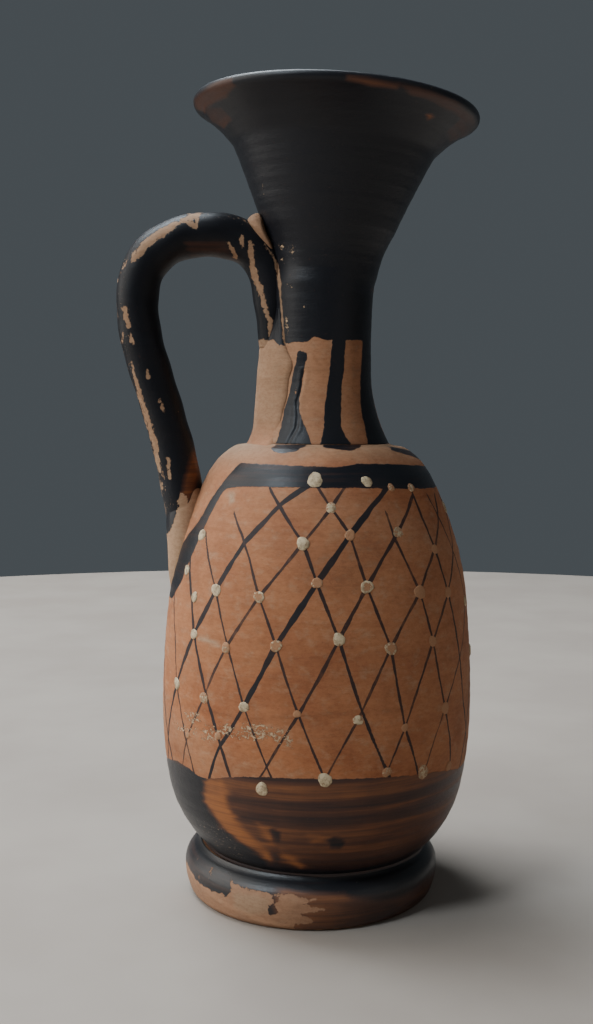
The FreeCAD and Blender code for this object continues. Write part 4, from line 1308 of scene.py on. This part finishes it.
def build_mouth(sizes, colours):
    """The thrown mouth: a turned bell whose root is drawn out to meet the top of the neck."""
    wheel = mouth_wheel(sizes)
    rim, top = sizes.rim_radius / MM, wheel.path[-1]
    outside, turns, radius, height = turned(wheel, *MOUTH_GRID)
    meet = NECK_TOP_RADIUS - rim * MOUTH_ROOT_SHARE
    radius = radius + meet * np.exp(-np.maximum(height, 0.0) / 3.5)
    ridges = 0.018 * np.sin(outside * 1.9) + 0.010 * np.sin(outside * 4.3 + 0.5)
    uneven = 0.05 * waves(turns[None, :], outside[:, None], 20.0, 6.0)
    fade = fade_at_ends(wheel, outside, (2.0, 6.0), (2.5, 1.0))
    radius = radius + fade[:, None] * (ridges[:, None] + uneven)
    from_chip = ((turns[None, :] + 84.0) / 8.0) ** 2 + ((outside[:, None] - top + 2.5) / 0.9) ** 2
    radius = radius - 0.75 * np.exp(-from_chip)
    shares = [(rim * wide, MOUTH_HEIGHT * high) for wide, high in MOUTH_INSIDE_SHARES]
    inner = rings([shares[0], *arcs(shares[1:], 12), (BORE_RADIUS, -1.6)], turns)
    neck = neck_wheel(sizes)
    across, around, level = neck.own(wheel.world(radius, turns[None, :], height))
    root = neck.radii[-1] + 0.03 - 0.075 * np.maximum(-height, 0.0)
    across = across + (root - across) * smooth(3.0 - height, 0.0, 3.2)
    wall = neck.world(across, around, level)
    points = np.concatenate([wall, wheel.world(inner[0], turns[None, :], inner[1])])
    thing = skin("painted_mouth", points, ring=True)
    patch = Patch(wheel, turns[None, :], outside[:, None])
    depth = np.full(patch.turn.shape, 1.12)
    for outline, fired in LIP_WORN:
        share = smooth(patch.inside(outline), -0.7, 0.5)
        depth = depth * (1 - share) + fired * share
    lip = smooth(patch.station, top - 5.0, top - 1.5)
    behind = smooth(np.abs(patch.turn), 85.0, 100.0)
    depth = depth - 0.55 * lip * behind * smooth(waves(patch.turn, 0.0, 8.0, 3.0), 0.0, 0.8)
    wear = 0.04 + 0.2 * smooth(patch.station, top - 1.6, top - 0.6)
    flecks = np.zeros(depth.shape)
    for outline in MOUTH_SCUFFS:
        flecks = flecks + 0.3 * smooth(patch.inside(outline), -1.0, 1.0)
        wear = wear + 0.22 * smooth(patch.inside(outline), -1.0, 1.0)
    for chip in MOUTH_CHIPS:
        flecks = np.maximum(flecks, 0.75 * smooth(patch.inside(chip), -0.3, 0.2))
    crease = seen_crease(patch, wall)
    # Slip taken off and clay paled and greyed along the crease: painted highlight on the glossy edge.
    rubbed = smooth(crease, -0.4, 0.1)
    paint_points(thing, "paint", (-crease, depth, wear), (5.0, 1.0, 0.04))
    paint_points(thing, "tone", (0.4 + 0.6 * rubbed, 0.1 + 0.55 * rubbed, flecks), (0.4, 0.1, 0.0))
    finish = painted_clay("black_gloss_mouth", colours, gloss=0.39, specular=0.26)
    finish_piece(thing, finish, "black_gloss", "mouth")


# Paint of the foot
FOOT_BARE = [(183, 858), (188.6, 865.5), (193, 874), (198, 881), (205, 887), (214, 891), (226, 896),
             (232, 889), (230, 880), (238, 885.5), (256, 891), (274, 895.5), (288, 893), (300, 897),
             (316, 899), (303, 904), (324, 909), (301, 914), (313, 922), (292, 926), (298, 936),
             (285, 936), (262, 935), (225, 926), (200, 911), (182, 888)]
FOOT_THIN = [(272, 893), (290, 890), (312, 891), (345, 891), (352, 897), (372, 898), (392, 900),
             (400, 908), (376, 926), (340, 936), (300, 938), (275, 936)]
FOOT_BLACKS = [
    [(271.4, 894), (281.4, 895), (279, 901), (274.5, 905), (278, 911), (277, 915), (268, 915), (271, 906),
     (273, 901)],
]
FOOT_RUBBED = [(189, 850), (225, 860), (236, 884), (212, 890), (192, 872)]
FOOT_PALE = [(234, 893), (256, 895), (270, 900), (268, 912), (250, 914), (236, 906)]


def build_foot(sizes, colours):
    """The thrown foot: a low turned disc with a hollow below and a socket above."""
    wheel = foot_wheel(sizes)
    outside, turns, radius, height = turned(wheel, *FOOT_GRID)
    uneven = 0.10 * waves(turns[None, :], outside[:, None], 18.0, 8.0)
    radius = radius + uneven * smooth(outside, 0.0, 6.0)[:, None]
    tilt = math.tan(math.radians(BODY_FRAME[2]))
    height = height - radius * np.cos(np.radians(turns + FRONT)) * tilt * smooth(height, 5.0, 8.5)
    below = [(HUB_RADIUS, 3.0), (13.4, 3.0), (15.2, 2.6), (16.4, 1.6),
             (17.2, 0.25), (17.7, 0.0), (20.6, 0.0)]
    above = [(19.6, 8.65), (12.4, 8.65), (12.3, 5.5), (HUB_RADIUS, 5.5)]
    thing = skin("painted_foot", closed_points(wheel, turns, below, (radius, height), above))
    patch = Patch(wheel, turns[None, :], outside[:, None])
    bare = patch.inside(FOOT_BARE)
    for outline in FOOT_BLACKS:
        bare = np.minimum(bare, -patch.inside(outline))
    behind = smooth(np.abs(patch.turn), 80.0, 100.0)
    low = 1.6 - patch.station + 0.8 * waves(patch.turn, 0.0, 6.0, 5.0)
    cover = -np.maximum(bare, np.where(behind > 0.5, low, FAR_OFF))
    cover = np.minimum(cover, patch.station - 0.5)
    depth = 1.0 - 0.45 * smooth(patch.turn, 10.0, 40.0) * (1 - smooth(patch.station, 3.5, 6.0))
    thin = smooth(patch.inside(FOOT_THIN) + 0.5 * waves(patch.turn * 5, patch.station, 4.0, 2.0), -0.8, 0.9)
    depth = depth * (1 - thin) + thin * (0.30 + 0.012 * np.maximum(patch.turn, 0.0))
    depth = depth + 0.1 * waves(patch.turn, patch.station, 4.0, 1.0)
    wear = 0.10 + 0.25 * smooth(patch.inside(FOOT_RUBBED), -1.0, 1.0)
    pale = 0.55 + 0.35 * smooth(patch.inside(FOOT_PALE), -0.8, 0.6)
    # This line and the next make the right side less pale and darker: painted shade on the side away from the
    # light.
    pale = pale - 0.25 * smooth(patch.turn, 0.0, 50.0)
    grime_and_shade = 0.26 + 0.30 * smooth(patch.turn, 5.0, 60.0)
    grime_and_shade = grime_and_shade + 0.22 * waves(patch.turn * 4, patch.station, 3.0, 6.0)
    # Darker at the top of the foot: painted shade in the groove below the body.
    grime_and_shade = grime_and_shade + 0.5 * np.exp(-((wheel.path[-1] - patch.station) / 0.6) ** 2)
    tone = (np.clip(pale, 0, 1), np.clip(grime_and_shade, 0, 1), 0.1)
    paint_points(thing, "paint", (cover, depth, wear), (-5.0, 1.0, 0.0), len(below))
    paint_points(thing, "tone", tone, (0.4, 0.4, 0.0), len(below))
    finish = painted_clay("black_gloss_foot", colours, gloss=0.40, wander=0.9, specular=0.55)
    finish_piece(thing, finish, "black_gloss", "foot")


# Worn places of the handle: pixel lines with widths in pixels, and closed outlines
HANDLE_STREAKS = [
    ([(134, 259), (144, 246), (158, 234.5), (174, 225), (186, 220), (199, 214)], [6, 9, 7, 6, 5, 5]),
    ([(186, 221), (196, 226), (198, 219)], [5, 6, 4]),
    ([(125, 307), (126.5, 318), (128, 327)], [4, 5, 3]),
    ([(130.5, 335), (133, 342)], [3, 3]),
    ([(131.4, 362), (139.5, 395), (148.6, 420.5), (154.4, 443.5), (160, 471)], [2, 4, 5, 5, 3.5]),
    ([(147, 369), (148, 377)], [2.6, 2.6]),
    ([(160, 400), (163, 410)], [2.4, 2.4]),
    ([(168, 458), (170, 478)], [1, 2.4]),
    ([(228, 242), (236, 256)], [3, 3.5]),
    ([(242, 236), (243, 246)], [3, 3]),
    ([(249.7, 242), (252, 259.7), (254.3, 275.8)], [4, 6, 6]),
    ([(254.3, 275.8), (258.9, 287.3), (263.5, 303.4), (269.2, 319.4), (270.4, 335.5)], [6, 5.5, 4.5, 4, 3]),
]
HANDLE_BARE = [
    [(174, 538), (177.5, 514), (178.5, 501), (182, 494), (186, 497), (189, 503), (191, 508), (203, 500),
     (212, 520), (205, 640), (150, 640), (163, 560)],
]
ARCH_BROWN = [(183, 240), (225, 240), (240, 262), (218, 258), (190, 258)]
HANDLE_THIN = [(180, 497), (183, 480), (187, 466), (191, 452), (195, 446), (201, 458), (200, 476),
               (194, 494), (189, 504)]
SLIP_TIP = [(150, 480), (176, 488), (177, 502), (175.5, 514), (172, 526), (169.5, 533), (150, 535)]
WEDGE = [(247, 222), (249, 217.5), (254.5, 213.8), (260, 215), (264.5, 226), (268, 236), (272, 245),
         (276, 255), (276, 261), (269, 255.5), (262.5, 248), (257, 241), (252, 233), (248.5, 226)]
WEDGE_PLANE = -1.0
WEDGE_HALF = 3.0
UPPER_PAINT_END = [(240, 340), (256, 341), (262, 338), (268, 341), (273, 339), (279, 345), (290, 346)]


def slip_end(points):
    """How far points lie below the lower edge of the slip at the handle's upper end."""
    x, y = on_picture(points)
    return (y - np.interp(x, *np.array(UPPER_PAINT_END).T)) * PIXEL_MM


def build_handle(sizes, colours):
    """The pulled handle: oval sections carried along its bent middle line."""
    scale = sizes.handle_thickness / MM / ARCH_THICKNESS
    table = HANDLE_SECTIONS * np.array([1.0, 1.0, 1.0, scale, scale])

    def swell(station, angle):
        return 0.06 * np.sin(station * 0.9 + 2 * angle) + 0.05 * np.sin(station * 0.37 + angle * 3 + 1.0)

    points, centres, station, angle = section_tube(*HANDLE_GRID, table, NECK_FRAME, swell)
    points = keep_outside(points, body_wheel(sizes), SUNK_IN_BODY)
    points = keep_outside(points, neck_wheel(sizes), SUNK_IN_NECK)
    points = keep_outside(points, mouth_wheel(sizes), SUNK_IN_NECK)
    thing = skin("painted_handle", points)
    facing = np.sum((points - centres) * (CAMERA_PLACE - points), axis=-1) > 0.0
    bare = np.full(facing.shape, FAR_OFF)
    # The crease is bared along with the worn streaks: a painted highlight on the glossy edge.
    for line, widths in HANDLE_STREAKS + [(CREASE, CREASE_WIDTHS)]:
        bare = np.maximum(bare, picture_distance(points, line, widths))
    for outline in HANDLE_BARE:
        bare = np.maximum(bare, picture_inside(points, outline))
    bare = np.maximum(bare, np.where(station < 22.0, slip_end(points), FAR_OFF))
    bare = np.where(facing, bare, FAR_OFF)
    total = station.max()
    outer = np.cos(np.radians(angle))
    hidden_end = station - (total - 17.0) - 11.0 * smooth(outer, -0.3, 0.5)
    hidden_end = hidden_end + 0.8 * np.sin(np.radians(angle) * 3)
    hidden_tail = 1.6 - station
    worn_back = smooth(outer, 0.55, 0.95) * smooth(np.sin(np.radians(angle)), -0.2, 0.35)
    streak = 0.55 * np.sin(station * 0.31 + 1.0) + 0.45 * np.sin(station * 0.83) - 0.25
    patches = 1.5 * streak + 2.6 * (worn_back - 0.8) + 0.3 * np.sin(station * 2.3 + 5.0 * outer)
    hidden = np.maximum(np.maximum(hidden_end, hidden_tail), patches)
    cover = -np.where(facing, bare, np.maximum(bare, hidden))
    depth = np.full(cover.shape, 1.15)
    inner_brown = picture_inside(points, ARCH_BROWN)
    depth = np.where(facing, depth - 0.36 * smooth(inner_brown, -1.0, 1.0), depth)
    depth = np.where(facing, depth - 0.75 * smooth(picture_inside(points, HANDLE_THIN), -0.6, 0.8), depth)
    wear = 0.14 + 0.22 * smooth(outer, 0.3, 0.9) + 0.08 * smooth(station, total - 34.0, total - 18.0)
    low_end = smooth(station, total - 24.0, total - 12.0)
    flecks = 0.05 + 0.25 * smooth(outer, 0.2, 0.9)
    paint_points(thing, "paint", (cover, depth, wear))
    paint_points(thing, "tone", (0.85 + 0.1 * low_end, 0.46 - 0.36 * low_end, flecks))
    finish = painted_clay("black_gloss_handle", colours, gloss=0.43, wander=0.9, specular=0.17)
    finish_piece(thing, finish, "black_gloss", "handle")


def upper_wad_points(wheel, body):
    """The smear below the handle, a shell h (1 - s^2)^0.8 thick on the neck, s from -1 to 1 across.

    Its lower end turns over in a quarter round and lies down on the shoulder.
    """
    turns, stations = wheel.seen_at(SMEAR_EDGE)
    order = np.argsort(stations)
    low, high, thickest, sunk = 4.4, 24.0, 2.40, 0.3
    rows = np.linspace(low, high, 92)
    reach = np.interp(rows, stations[order], wrap(turns[order] - HANDLE_TURN))
    reach = np.convolve(np.pad(reach, 4, mode="edge"), np.ones(9) / 9, mode="valid")
    narrower = reach * np.interp(rows, [stations.max(), high], [1.0, 0.72])
    reach = np.where(rows > stations.max(), narrower, reach)
    share = np.linspace(-1.0, 1.0, 91)
    arched = 1.0 - share ** 2
    thick = np.interp(rows, [low, 6.5, 9.0, 12.0, 17.0, 20.0, high],
                      [0.50, 0.70, 0.86, 0.95, 0.84, 0.50, 0.02])
    lump = (0.08 + thickest * arched ** 0.8) * thick[:, None]
    lump = lump + 0.06 * np.exp(-((np.abs(share) - 0.93) / 0.05) ** 2)
    turn = HANDLE_TURN + share[None, :] * reach[:, None]
    lump = lump + 0.05 * waves(turn * 2, rows[:, None], 6.0, 3.0) * arched
    radius = wheel.radius_at(rows)[:, None]
    height = wheel.height_at(rows)[:, None]
    outer = wheel.world(radius + lump, turn, height)
    inner = wheel.world(radius - sunk + 0 * lump, turn, height)[:, ::-1]
    shoulder = body.heights > NET_MIDDLE
    raised = (NECK_FRAME[1] - BODY_FRAME[1]) / math.cos(math.radians(BODY_FRAME[2]))
    end_radius = 12.6 + 5.8 * arched ** 0.55
    end_height = np.interp(end_radius, body.radii[shoulder][::-1], body.heights[shoulder][::-1])
    end_height = end_height - raised - 0.05
    swing = np.linspace(0.0, 1.0, 19)[:-1, None]
    first = radius[0] + lump[0]
    out = end_radius + (first - end_radius) * np.sin(swing * math.pi / 2)
    up = height[0] + (end_height - height[0]) * np.cos(swing * math.pi / 2)
    inside = 11.9 + (radius[0] - 12.2) * swing
    foot_outer = wheel.world(out, turn[0], up)
    foot_inner = wheel.world(inside, turn[0], -1.2 + (height[0] + 1.2) * swing)[:, ::-1]
    return np.concatenate([np.concatenate([foot_outer, foot_inner], axis=1),
                           np.concatenate([outer, inner], axis=1)])


def build_wads(sizes, colours):
    """Clay pressed on below both ends of the handle: a shell on the neck and a lump on the shoulder."""
    wheel, body = neck_wheel(sizes), body_wheel(sizes)
    points = upper_wad_points(wheel, body)
    upper = skin("upper_smear", points)
    cover = -slip_end(points)
    level = (points - wheel.origin) @ wheel.up
    # Bare along the crease: painted highlight on the glossy edge.
    crease = picture_distance(points, CREASE, CREASE_WIDTHS)
    paint_points(upper, "paint", (np.minimum(cover, -crease), 1.12, 0.12))
    paint_points(upper, "tone", (0.28 + 0.42 * smooth(level, -0.5, 5.0), 0.08, 0.0))
    smeared = painted_clay("smeared_clay", colours, wander=0.5, specular=0.25)
    finish_piece(upper, smeared, "bare_clay", "upper_handle_wad")
    points = section_tube(*LOWER_WAD_GRID, LOWER_WAD_SECTIONS, NECK_FRAME)[0]
    points = keep_outside(points, body, SUNK_IN_BODY)
    lower = skin("lower_smear", points)
    tip = picture_inside(points, SLIP_TIP)
    paint_points(lower, "paint", (tip, 1.12, 0.05))
    paint_points(lower, "tone", (0.85 + 0 * tip, 0.12, 0.0))
    finish_piece(lower, smeared, "bare_clay", "lower_handle_wad")


def build_wedge(colours):
    """Clay pressed into the corner between the handle's arch and the mouth.

    A pillow: outline scaled by cos(f) about its middle, moved sideways by half its thickness times
    sin(f), with f from -84 to 84 degrees.
    """
    lines = sight_lines(np.array(WEDGE, float))
    reach = (WEDGE_PLANE - CAMERA_PLACE[1]) / lines[:, 1]
    corners = CAMERA_PLACE + lines * reach[:, None]
    knots = np.arange(len(corners) + 1.0)
    closed = np.concatenate([corners, corners[:1]])
    outline = spline(knots, closed, np.linspace(0.0, knots[-1], 64, endpoint=False))
    middle = outline.mean(axis=0)
    angle = np.radians(np.linspace(-84.0, 84.0, 25))[:, None, None]
    points = middle + (outline - middle) * np.cos(angle)
    points = points + np.array([0.0, -WEDGE_HALF, 0.0]) * np.sin(angle)
    points[..., 1] = points[..., 1] + 0.12 * np.sin(points[..., 0] * 3.1 + points[..., 2] * 2.3)
    wedge = skin("corner_wad", points)
    finish_piece(wedge, bare_clay("corner_clay", colours, 0.45), "bare_clay")


# Unseen dabs: the levels that are searched, the widest turn between two strokes that counts as a
# crossing, and the turn from which the camera misses them
CROSSING_LEVELS = np.linspace(15.0, 61.0, 185)
CROSSING_GAP = 20.0
UNSEEN_TURN = 74.0
# Millimetres per degree on the body, and how near a dab may stand to the next
MM_PER_DEGREE = 0.47
DAB_APART = 4.5
# Half the turn that the handle's foot covers, and the level above which it does
FOOT_TURN = 26.0
FOOT_LEVEL = 40.0
# Shares at which a dab has its rings, the radius that the table is measured at, and how deep its
# edge sinks and its middle rises beyond its own height, in millimetres
DAB_RINGS = np.array([0.12, 0.4, 0.68, 0.86, 0.97, 1.0])
DAB_MEASURE = 1.4
DAB_SUNK = 0.15
DAB_RAISED = 0.02


def hidden_crossings(wheel, turns, stations):
    """Crossings of the net out of the camera's sight: turn, station, radius, wear, hollow middle.

    Left out are crossings near the seen dabs, and those that the handle's foot covers.
    """
    rising, falling = net_of(wheel)
    heights = CROSSING_LEVELS
    found = []
    for a in range(len(rising.turns)):
        for b in range(len(falling.turns)):
            gap = wrap(rising.turn_at(a, heights) - falling.turn_at(b, heights))
            crossing = np.nonzero((gap[:-1] < 0) != (gap[1:] < 0))[0]
            for index in crossing:
                if abs(gap[index]) > CROSSING_GAP:
                    continue
                turn = float(wrap(rising.turn_at(a, heights[index])))
                station = float(wheel.station_at(heights[index]))
                apart = np.hypot(wrap(turns - turn) * MM_PER_DEGREE, stations - station).min()
                covered = abs(wrap(turn - HANDLE_TURN)) < FOOT_TURN and heights[index] > FOOT_LEVEL
                if abs(turn) < UNSEEN_TURN or apart < DAB_APART or covered:
                    continue
                mark = a * 3.7 + b * 1.9
                radius, worn = 1.1 + 0.15 * math.sin(mark * 2), 0.35 + 0.3 * math.sin(mark)
                found.append((turn, station, radius, worn, 0))
    return found


def build_dabs(sizes, colours):
    """White dabs: domes h (1 - q^4) over uneven rounds, laid on the wall at the net's crossings.

    q is the share of the way from the dab's middle to its edge.
    """
    wheel = body_wheel(sizes)
    table = np.array(DABS)
    turns, stations = wheel.seen_at(table[:, :2])
    places = [(turn, station, *row[2:]) for turn, station, row in zip(turns, stations, table)]
    places += hidden_crossings(wheel, turns, stations)
    turn, station, radius, worn, hollow = np.array(places).T[:, :, None, None]
    share = DAB_RINGS[None, :, None]
    angle = np.linspace(0.0, 2 * math.pi, 24, endpoint=False)[None, None, :]
    seed = turn * 0.7 + station
    size = radius * sizes.dab_radius / MM / DAB_MEASURE
    uneven = 1 + 0.07 * np.sin(2 * angle + seed) + 0.05 * np.sin(3 * angle + seed * 2)
    uneven = uneven + 0.03 * np.sin(7 * angle + seed * 3)
    out = size * share * uneven
    at_station = station + out * np.sin(angle)
    at_turn = turn + np.degrees(out * np.cos(angle) / wheel.radius_at(station))
    dome = sizes.dab_height / MM * (1 - 0.65 * worn) * (1 - share ** 4)
    dome = dome * (1 - 0.5 * hollow * (1 - share ** 2))
    dome = np.where(share == 1.0, -DAB_SUNK, dome + DAB_RAISED)
    slope = wheel.slope_at(at_station)
    points = wheel.world(wheel.radius_at(at_station) + dome * np.cos(slope), at_turn,
                         wheel.height_at(at_station) + dome * np.sin(slope))
    points = points[:, ::-1]
    count, rows, columns = points.shape[:3]
    thing = skins("white_dabs", points)
    fields = np.zeros((count, rows * columns + 2, 3))
    fields[:, :, 0] = worn[:, 0]
    fields[:, :rows * columns, 1] = np.repeat(share[0, ::-1, 0], columns)
    fields[:, rows * columns, 1] = 1.0
    fields[:, :, 2] = hollow[:, 0]
    paint(thing, "dab", fields)
    finish_piece(thing, white_paint("white_paint", colours), "white_paint", "white_dots")


def dress_lutings(colours):
    """The three luting rings keep their measured shape and get a clay or slip finish."""
    clay = bare_clay("luting_clay", colours, 0.75)
    slip = brushed_slip("luting_slip", colours)
    for name, finish in (("foot_luting_ring", slip), ("neck_luting_ring", clay), ("mouth_luting_ring", slip)):
        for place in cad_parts[name].material_slots:
            place.material = finish


# Stage

# Radius of the floor in metres, and the two colours that it is clouded with
FLOOR_RADIUS = 0.43
FLOOR_COLOURS = ((0.31, 0.265, 0.23), (0.345, 0.30, 0.26))
ROOM_COLOUR = (0.62, 0.72, 0.80, 1.0)
ROOM_STRENGTH = 0.11
# Lights: name, place and aim in metres, size, power and colour
LIGHTS = [
    ("window", (-0.90, 0.06, 0.46), (0.0, 0.0, 0.08), 1.1, 10.0, (1.0, 0.95, 0.87)),
    ("pane", (-0.52, -0.40, 0.66), (0.0, 0.0, 0.09), 0.17, 3.6, (0.80, 0.91, 1.0)),
    ("sky", (-0.24, 0.24, 0.85), (0.0, 0.0, 0.10), 0.50, 13.5, (0.84, 0.93, 1.0)),
    ("room", (0.55, -0.55, 0.35), (0.0, 0.0, 0.07), 0.8, 0.5, (1.0, 0.93, 0.86)),
]


def set_in_place(thing, side, top, away, place):
    """Put a light or camera in the scene; it looks against its third direction."""
    bpy.context.scene.collection.objects.link(thing)
    turn = Matrix(np.column_stack([side, top, away]).tolist()).to_4x4()
    turn.translation = place
    thing.matrix_world = turn


def build_stage():
    """Pale floor, soft lights and the camera of the front view."""
    mesh = bpy.data.meshes.new("floor")
    angle = np.linspace(0.0, 2 * math.pi, 96, endpoint=False)
    rim = [(FLOOR_RADIUS * math.cos(a), FLOOR_RADIUS * math.sin(a), 0.0) for a in angle]
    mesh.from_pydata(rim, [], [tuple(range(len(rim)))])
    floor = bpy.data.objects.new("floor", mesh)
    bpy.context.scene.collection.objects.link(floor)
    finish = Finish("pale_floor")
    mottle = finish.noise(40.0, detail=3.0)
    colour = finish.mix(finish.step(mottle, 0.3, 0.7), *FLOOR_COLOURS)
    floor.data.materials.append(finish.close(colour, 0.8, mottle, 0.01, specular=0.2))
    world = bpy.data.worlds.new("soft_room")
    bpy.context.scene.world = world
    world.use_nodes = True
    background = world.node_tree.nodes["Background"]
    background.inputs["Color"].default_value = ROOM_COLOUR
    background.inputs["Strength"].default_value = ROOM_STRENGTH
    for name, place, aim, size, power, colour in LIGHTS:
        light = bpy.data.lights.new(name, "AREA")
        light.size = size
        light.energy = power
        light.color = colour
        away = np.array(place) - np.array(aim)
        away = away / np.linalg.norm(away)
        side = np.cross([0.0, 0.0, 1.0], away)
        side = side / np.linalg.norm(side)
        set_in_place(bpy.data.objects.new(name, light), side, np.cross(away, side), away, place)
    camera = bpy.data.objects.new("camera", bpy.data.cameras.new("camera"))
    camera.data.sensor_width = SENSOR_MM
    camera.data.lens = SENSOR_MM * FOCAL_PIXELS / IMAGE_HEIGHT
    camera.data.clip_start = 0.01
    set_in_place(camera, RIGHT, UP, -FORWARD, CAMERA_PLACE * MM)
    bpy.context.scene.camera = camera


# Settings, operators and panel

def length(name, description, millimetres):
    """A length property with its default in millimetres."""
    return FloatProperty(name=name, description=description, default=millimetres * MM, min=0.0,
                         subtype="DISTANCE", unit="LENGTH", precision=5)


def colour(name, description, default):
    """A colour property."""
    return FloatVectorProperty(name=name, description=description, default=default, size=3,
                               min=0.0, max=1.0, subtype="COLOR")


def number(name, description, default, low, high):
    """A whole number within limits."""
    return IntProperty(name=name, description=description, default=default, min=low, max=high)


class JugSizes(bpy.types.PropertyGroup):
    """Sizes of the jug and of its meshes."""
    belly_radius: length("Belly radius", "Widest radius of the body", 27.8)
    body_height: length("Body height", "Height of the thrown body", 71.2)
    neck_radius: length("Neck radius", "Radius of the neck at its waist", 8.9)
    rim_radius: length("Rim radius", "Radius of the mouth at its lip", 25.0)
    foot_radius: length("Foot radius", "Widest radius of the foot", 22.95)
    handle_thickness: length("Handle thickness", "Thickness of the handle at its arch", 7.5)
    dab_radius: length("Dab radius", "Radius of a white dab", 1.28)
    dab_height: length("Dab height", "How far a fresh dab stands off the wall", 0.22)
    body_columns: number("Body columns", "Points once round the body", 500, 60, 560)
    body_rows: number("Body rows", "Rows of points up the body's outside", 152, 20, 170)


class JugColours(bpy.types.PropertyGroup):
    """Colours of clay, slip and paint."""
    clay: colour("Clay", "Fired clay of the body", (0.42, 0.165, 0.070))
    # Pale clay also paints light: the lit top and left side of body and neck, and the crease highlight.
    pale_clay: colour("Pale clay", "Rubbed or thinly covered clay", (0.44, 0.290, 0.180))
    red_clay: colour("Red clay", "Redder clouds in the clay", (0.34, 0.120, 0.048))
    chip_clay: colour("Chipped clay", "Fresh, light clay in chips", (0.52, 0.36, 0.22))
    black_slip: colour("Black slip", "Thick slip, fired black", (0.011, 0.012, 0.016))
    brown_slip: colour("Brown slip", "Thinner slip, fired brown", (0.092, 0.038, 0.023))
    thin_slip: colour("Thin slip", "Reddish wash of thin slip", (0.36, 0.135, 0.045))
    white_paint: colour("White paint", "Thick dabs of paint", (0.60, 0.48, 0.31))
    old_paint: colour("Soiled paint", "Darker parts of the dabs", (0.34, 0.25, 0.15))


class JugStep(bpy.types.Operator):
    """Shared settings of the building steps"""
    bl_options = {"REGISTER"}

    def settings(self, context):
        return context.scene.jug_sizes, context.scene.jug_colours


class BuildBody(JugStep):
    """Build the thrown body with its net, band and streaked base"""
    bl_idname = "jug.body"
    bl_label = "Body"

    def execute(self, context):
        build_body(*self.settings(context))
        return {"FINISHED"}


class BuildNeck(JugStep):
    """Build the thrown neck with its painted tongues"""
    bl_idname = "jug.neck"
    bl_label = "Neck"

    def execute(self, context):
        build_neck(*self.settings(context))
        return {"FINISHED"}


class BuildMouth(JugStep):
    """Build the thrown bell of the mouth"""
    bl_idname = "jug.mouth"
    bl_label = "Mouth"

    def execute(self, context):
        build_mouth(*self.settings(context))
        return {"FINISHED"}


class BuildFoot(JugStep):
    """Build the thrown foot"""
    bl_idname = "jug.foot"
    bl_label = "Foot"

    def execute(self, context):
        build_foot(*self.settings(context))
        return {"FINISHED"}


class BuildHandle(JugStep):
    """Build the pulled handle with its worn slip"""
    bl_idname = "jug.handle"
    bl_label = "Handle"

    def execute(self, context):
        build_handle(*self.settings(context))
        return {"FINISHED"}


class BuildWads(JugStep):
    """Build the smeared clay below both ends of the handle"""
    bl_idname = "jug.wads"
    bl_label = "Handle wads"

    def execute(self, context):
        build_wads(*self.settings(context))
        return {"FINISHED"}


class BuildWedge(JugStep):
    """Build the clay in the corner between handle and mouth"""
    bl_idname = "jug.corner"
    bl_label = "Corner wad"

    def execute(self, context):
        build_wedge(self.settings(context)[1])
        return {"FINISHED"}


class BuildDabs(JugStep):
    """Build the white dabs on the net's crossings"""
    bl_idname = "jug.dabs"
    bl_label = "White dabs"

    def execute(self, context):
        build_dabs(*self.settings(context))
        return {"FINISHED"}


class DressLutings(JugStep):
    """Give the luting rings their finish"""
    bl_idname = "jug.lutings"
    bl_label = "Luting rings"

    def execute(self, context):
        dress_lutings(self.settings(context)[1])
        return {"FINISHED"}


class BuildStage(JugStep):
    """Set the floor, the lights and the camera"""
    bl_idname = "jug.stage"
    bl_label = "Stage"

    def execute(self, context):
        build_stage()
        return {"FINISHED"}


STEPS = (BuildBody, BuildNeck, BuildMouth, BuildFoot, BuildHandle, BuildWads, BuildWedge, BuildDabs,
         DressLutings, BuildStage)


class JugPanel(bpy.types.Panel):
    """Sizes, colours and building steps of the jug"""
    bl_idname = "VIEW3D_PT_jug"
    bl_label = "Lekythos"
    bl_space_type = "VIEW_3D"
    bl_region_type = "UI"
    bl_category = "Lekythos"

    def draw(self, context):
        for group in (context.scene.jug_sizes, context.scene.jug_colours):
            box = self.layout.box()
            for name in group.__annotations__:
                box.prop(group, name)
        for step in STEPS:
            self.layout.operator(step.bl_idname)


CLASSES = (JugSizes, JugColours, *STEPS, JugPanel)


def register():
    for part in CLASSES:
        bpy.utils.register_class(part)
    bpy.types.Scene.jug_sizes = PointerProperty(type=JugSizes)
    bpy.types.Scene.jug_colours = PointerProperty(type=JugColours)


def unregister():
    del bpy.types.Scene.jug_sizes
    del bpy.types.Scene.jug_colours
    for part in reversed(CLASSES):
        bpy.utils.unregister_class(part)


def main():
    """Build every piece in order."""
    register()
    for step in STEPS:
        group, name = step.bl_idname.split(".")
        getattr(getattr(bpy.ops, group), name)()


if __name__ == "__main__":
    main()
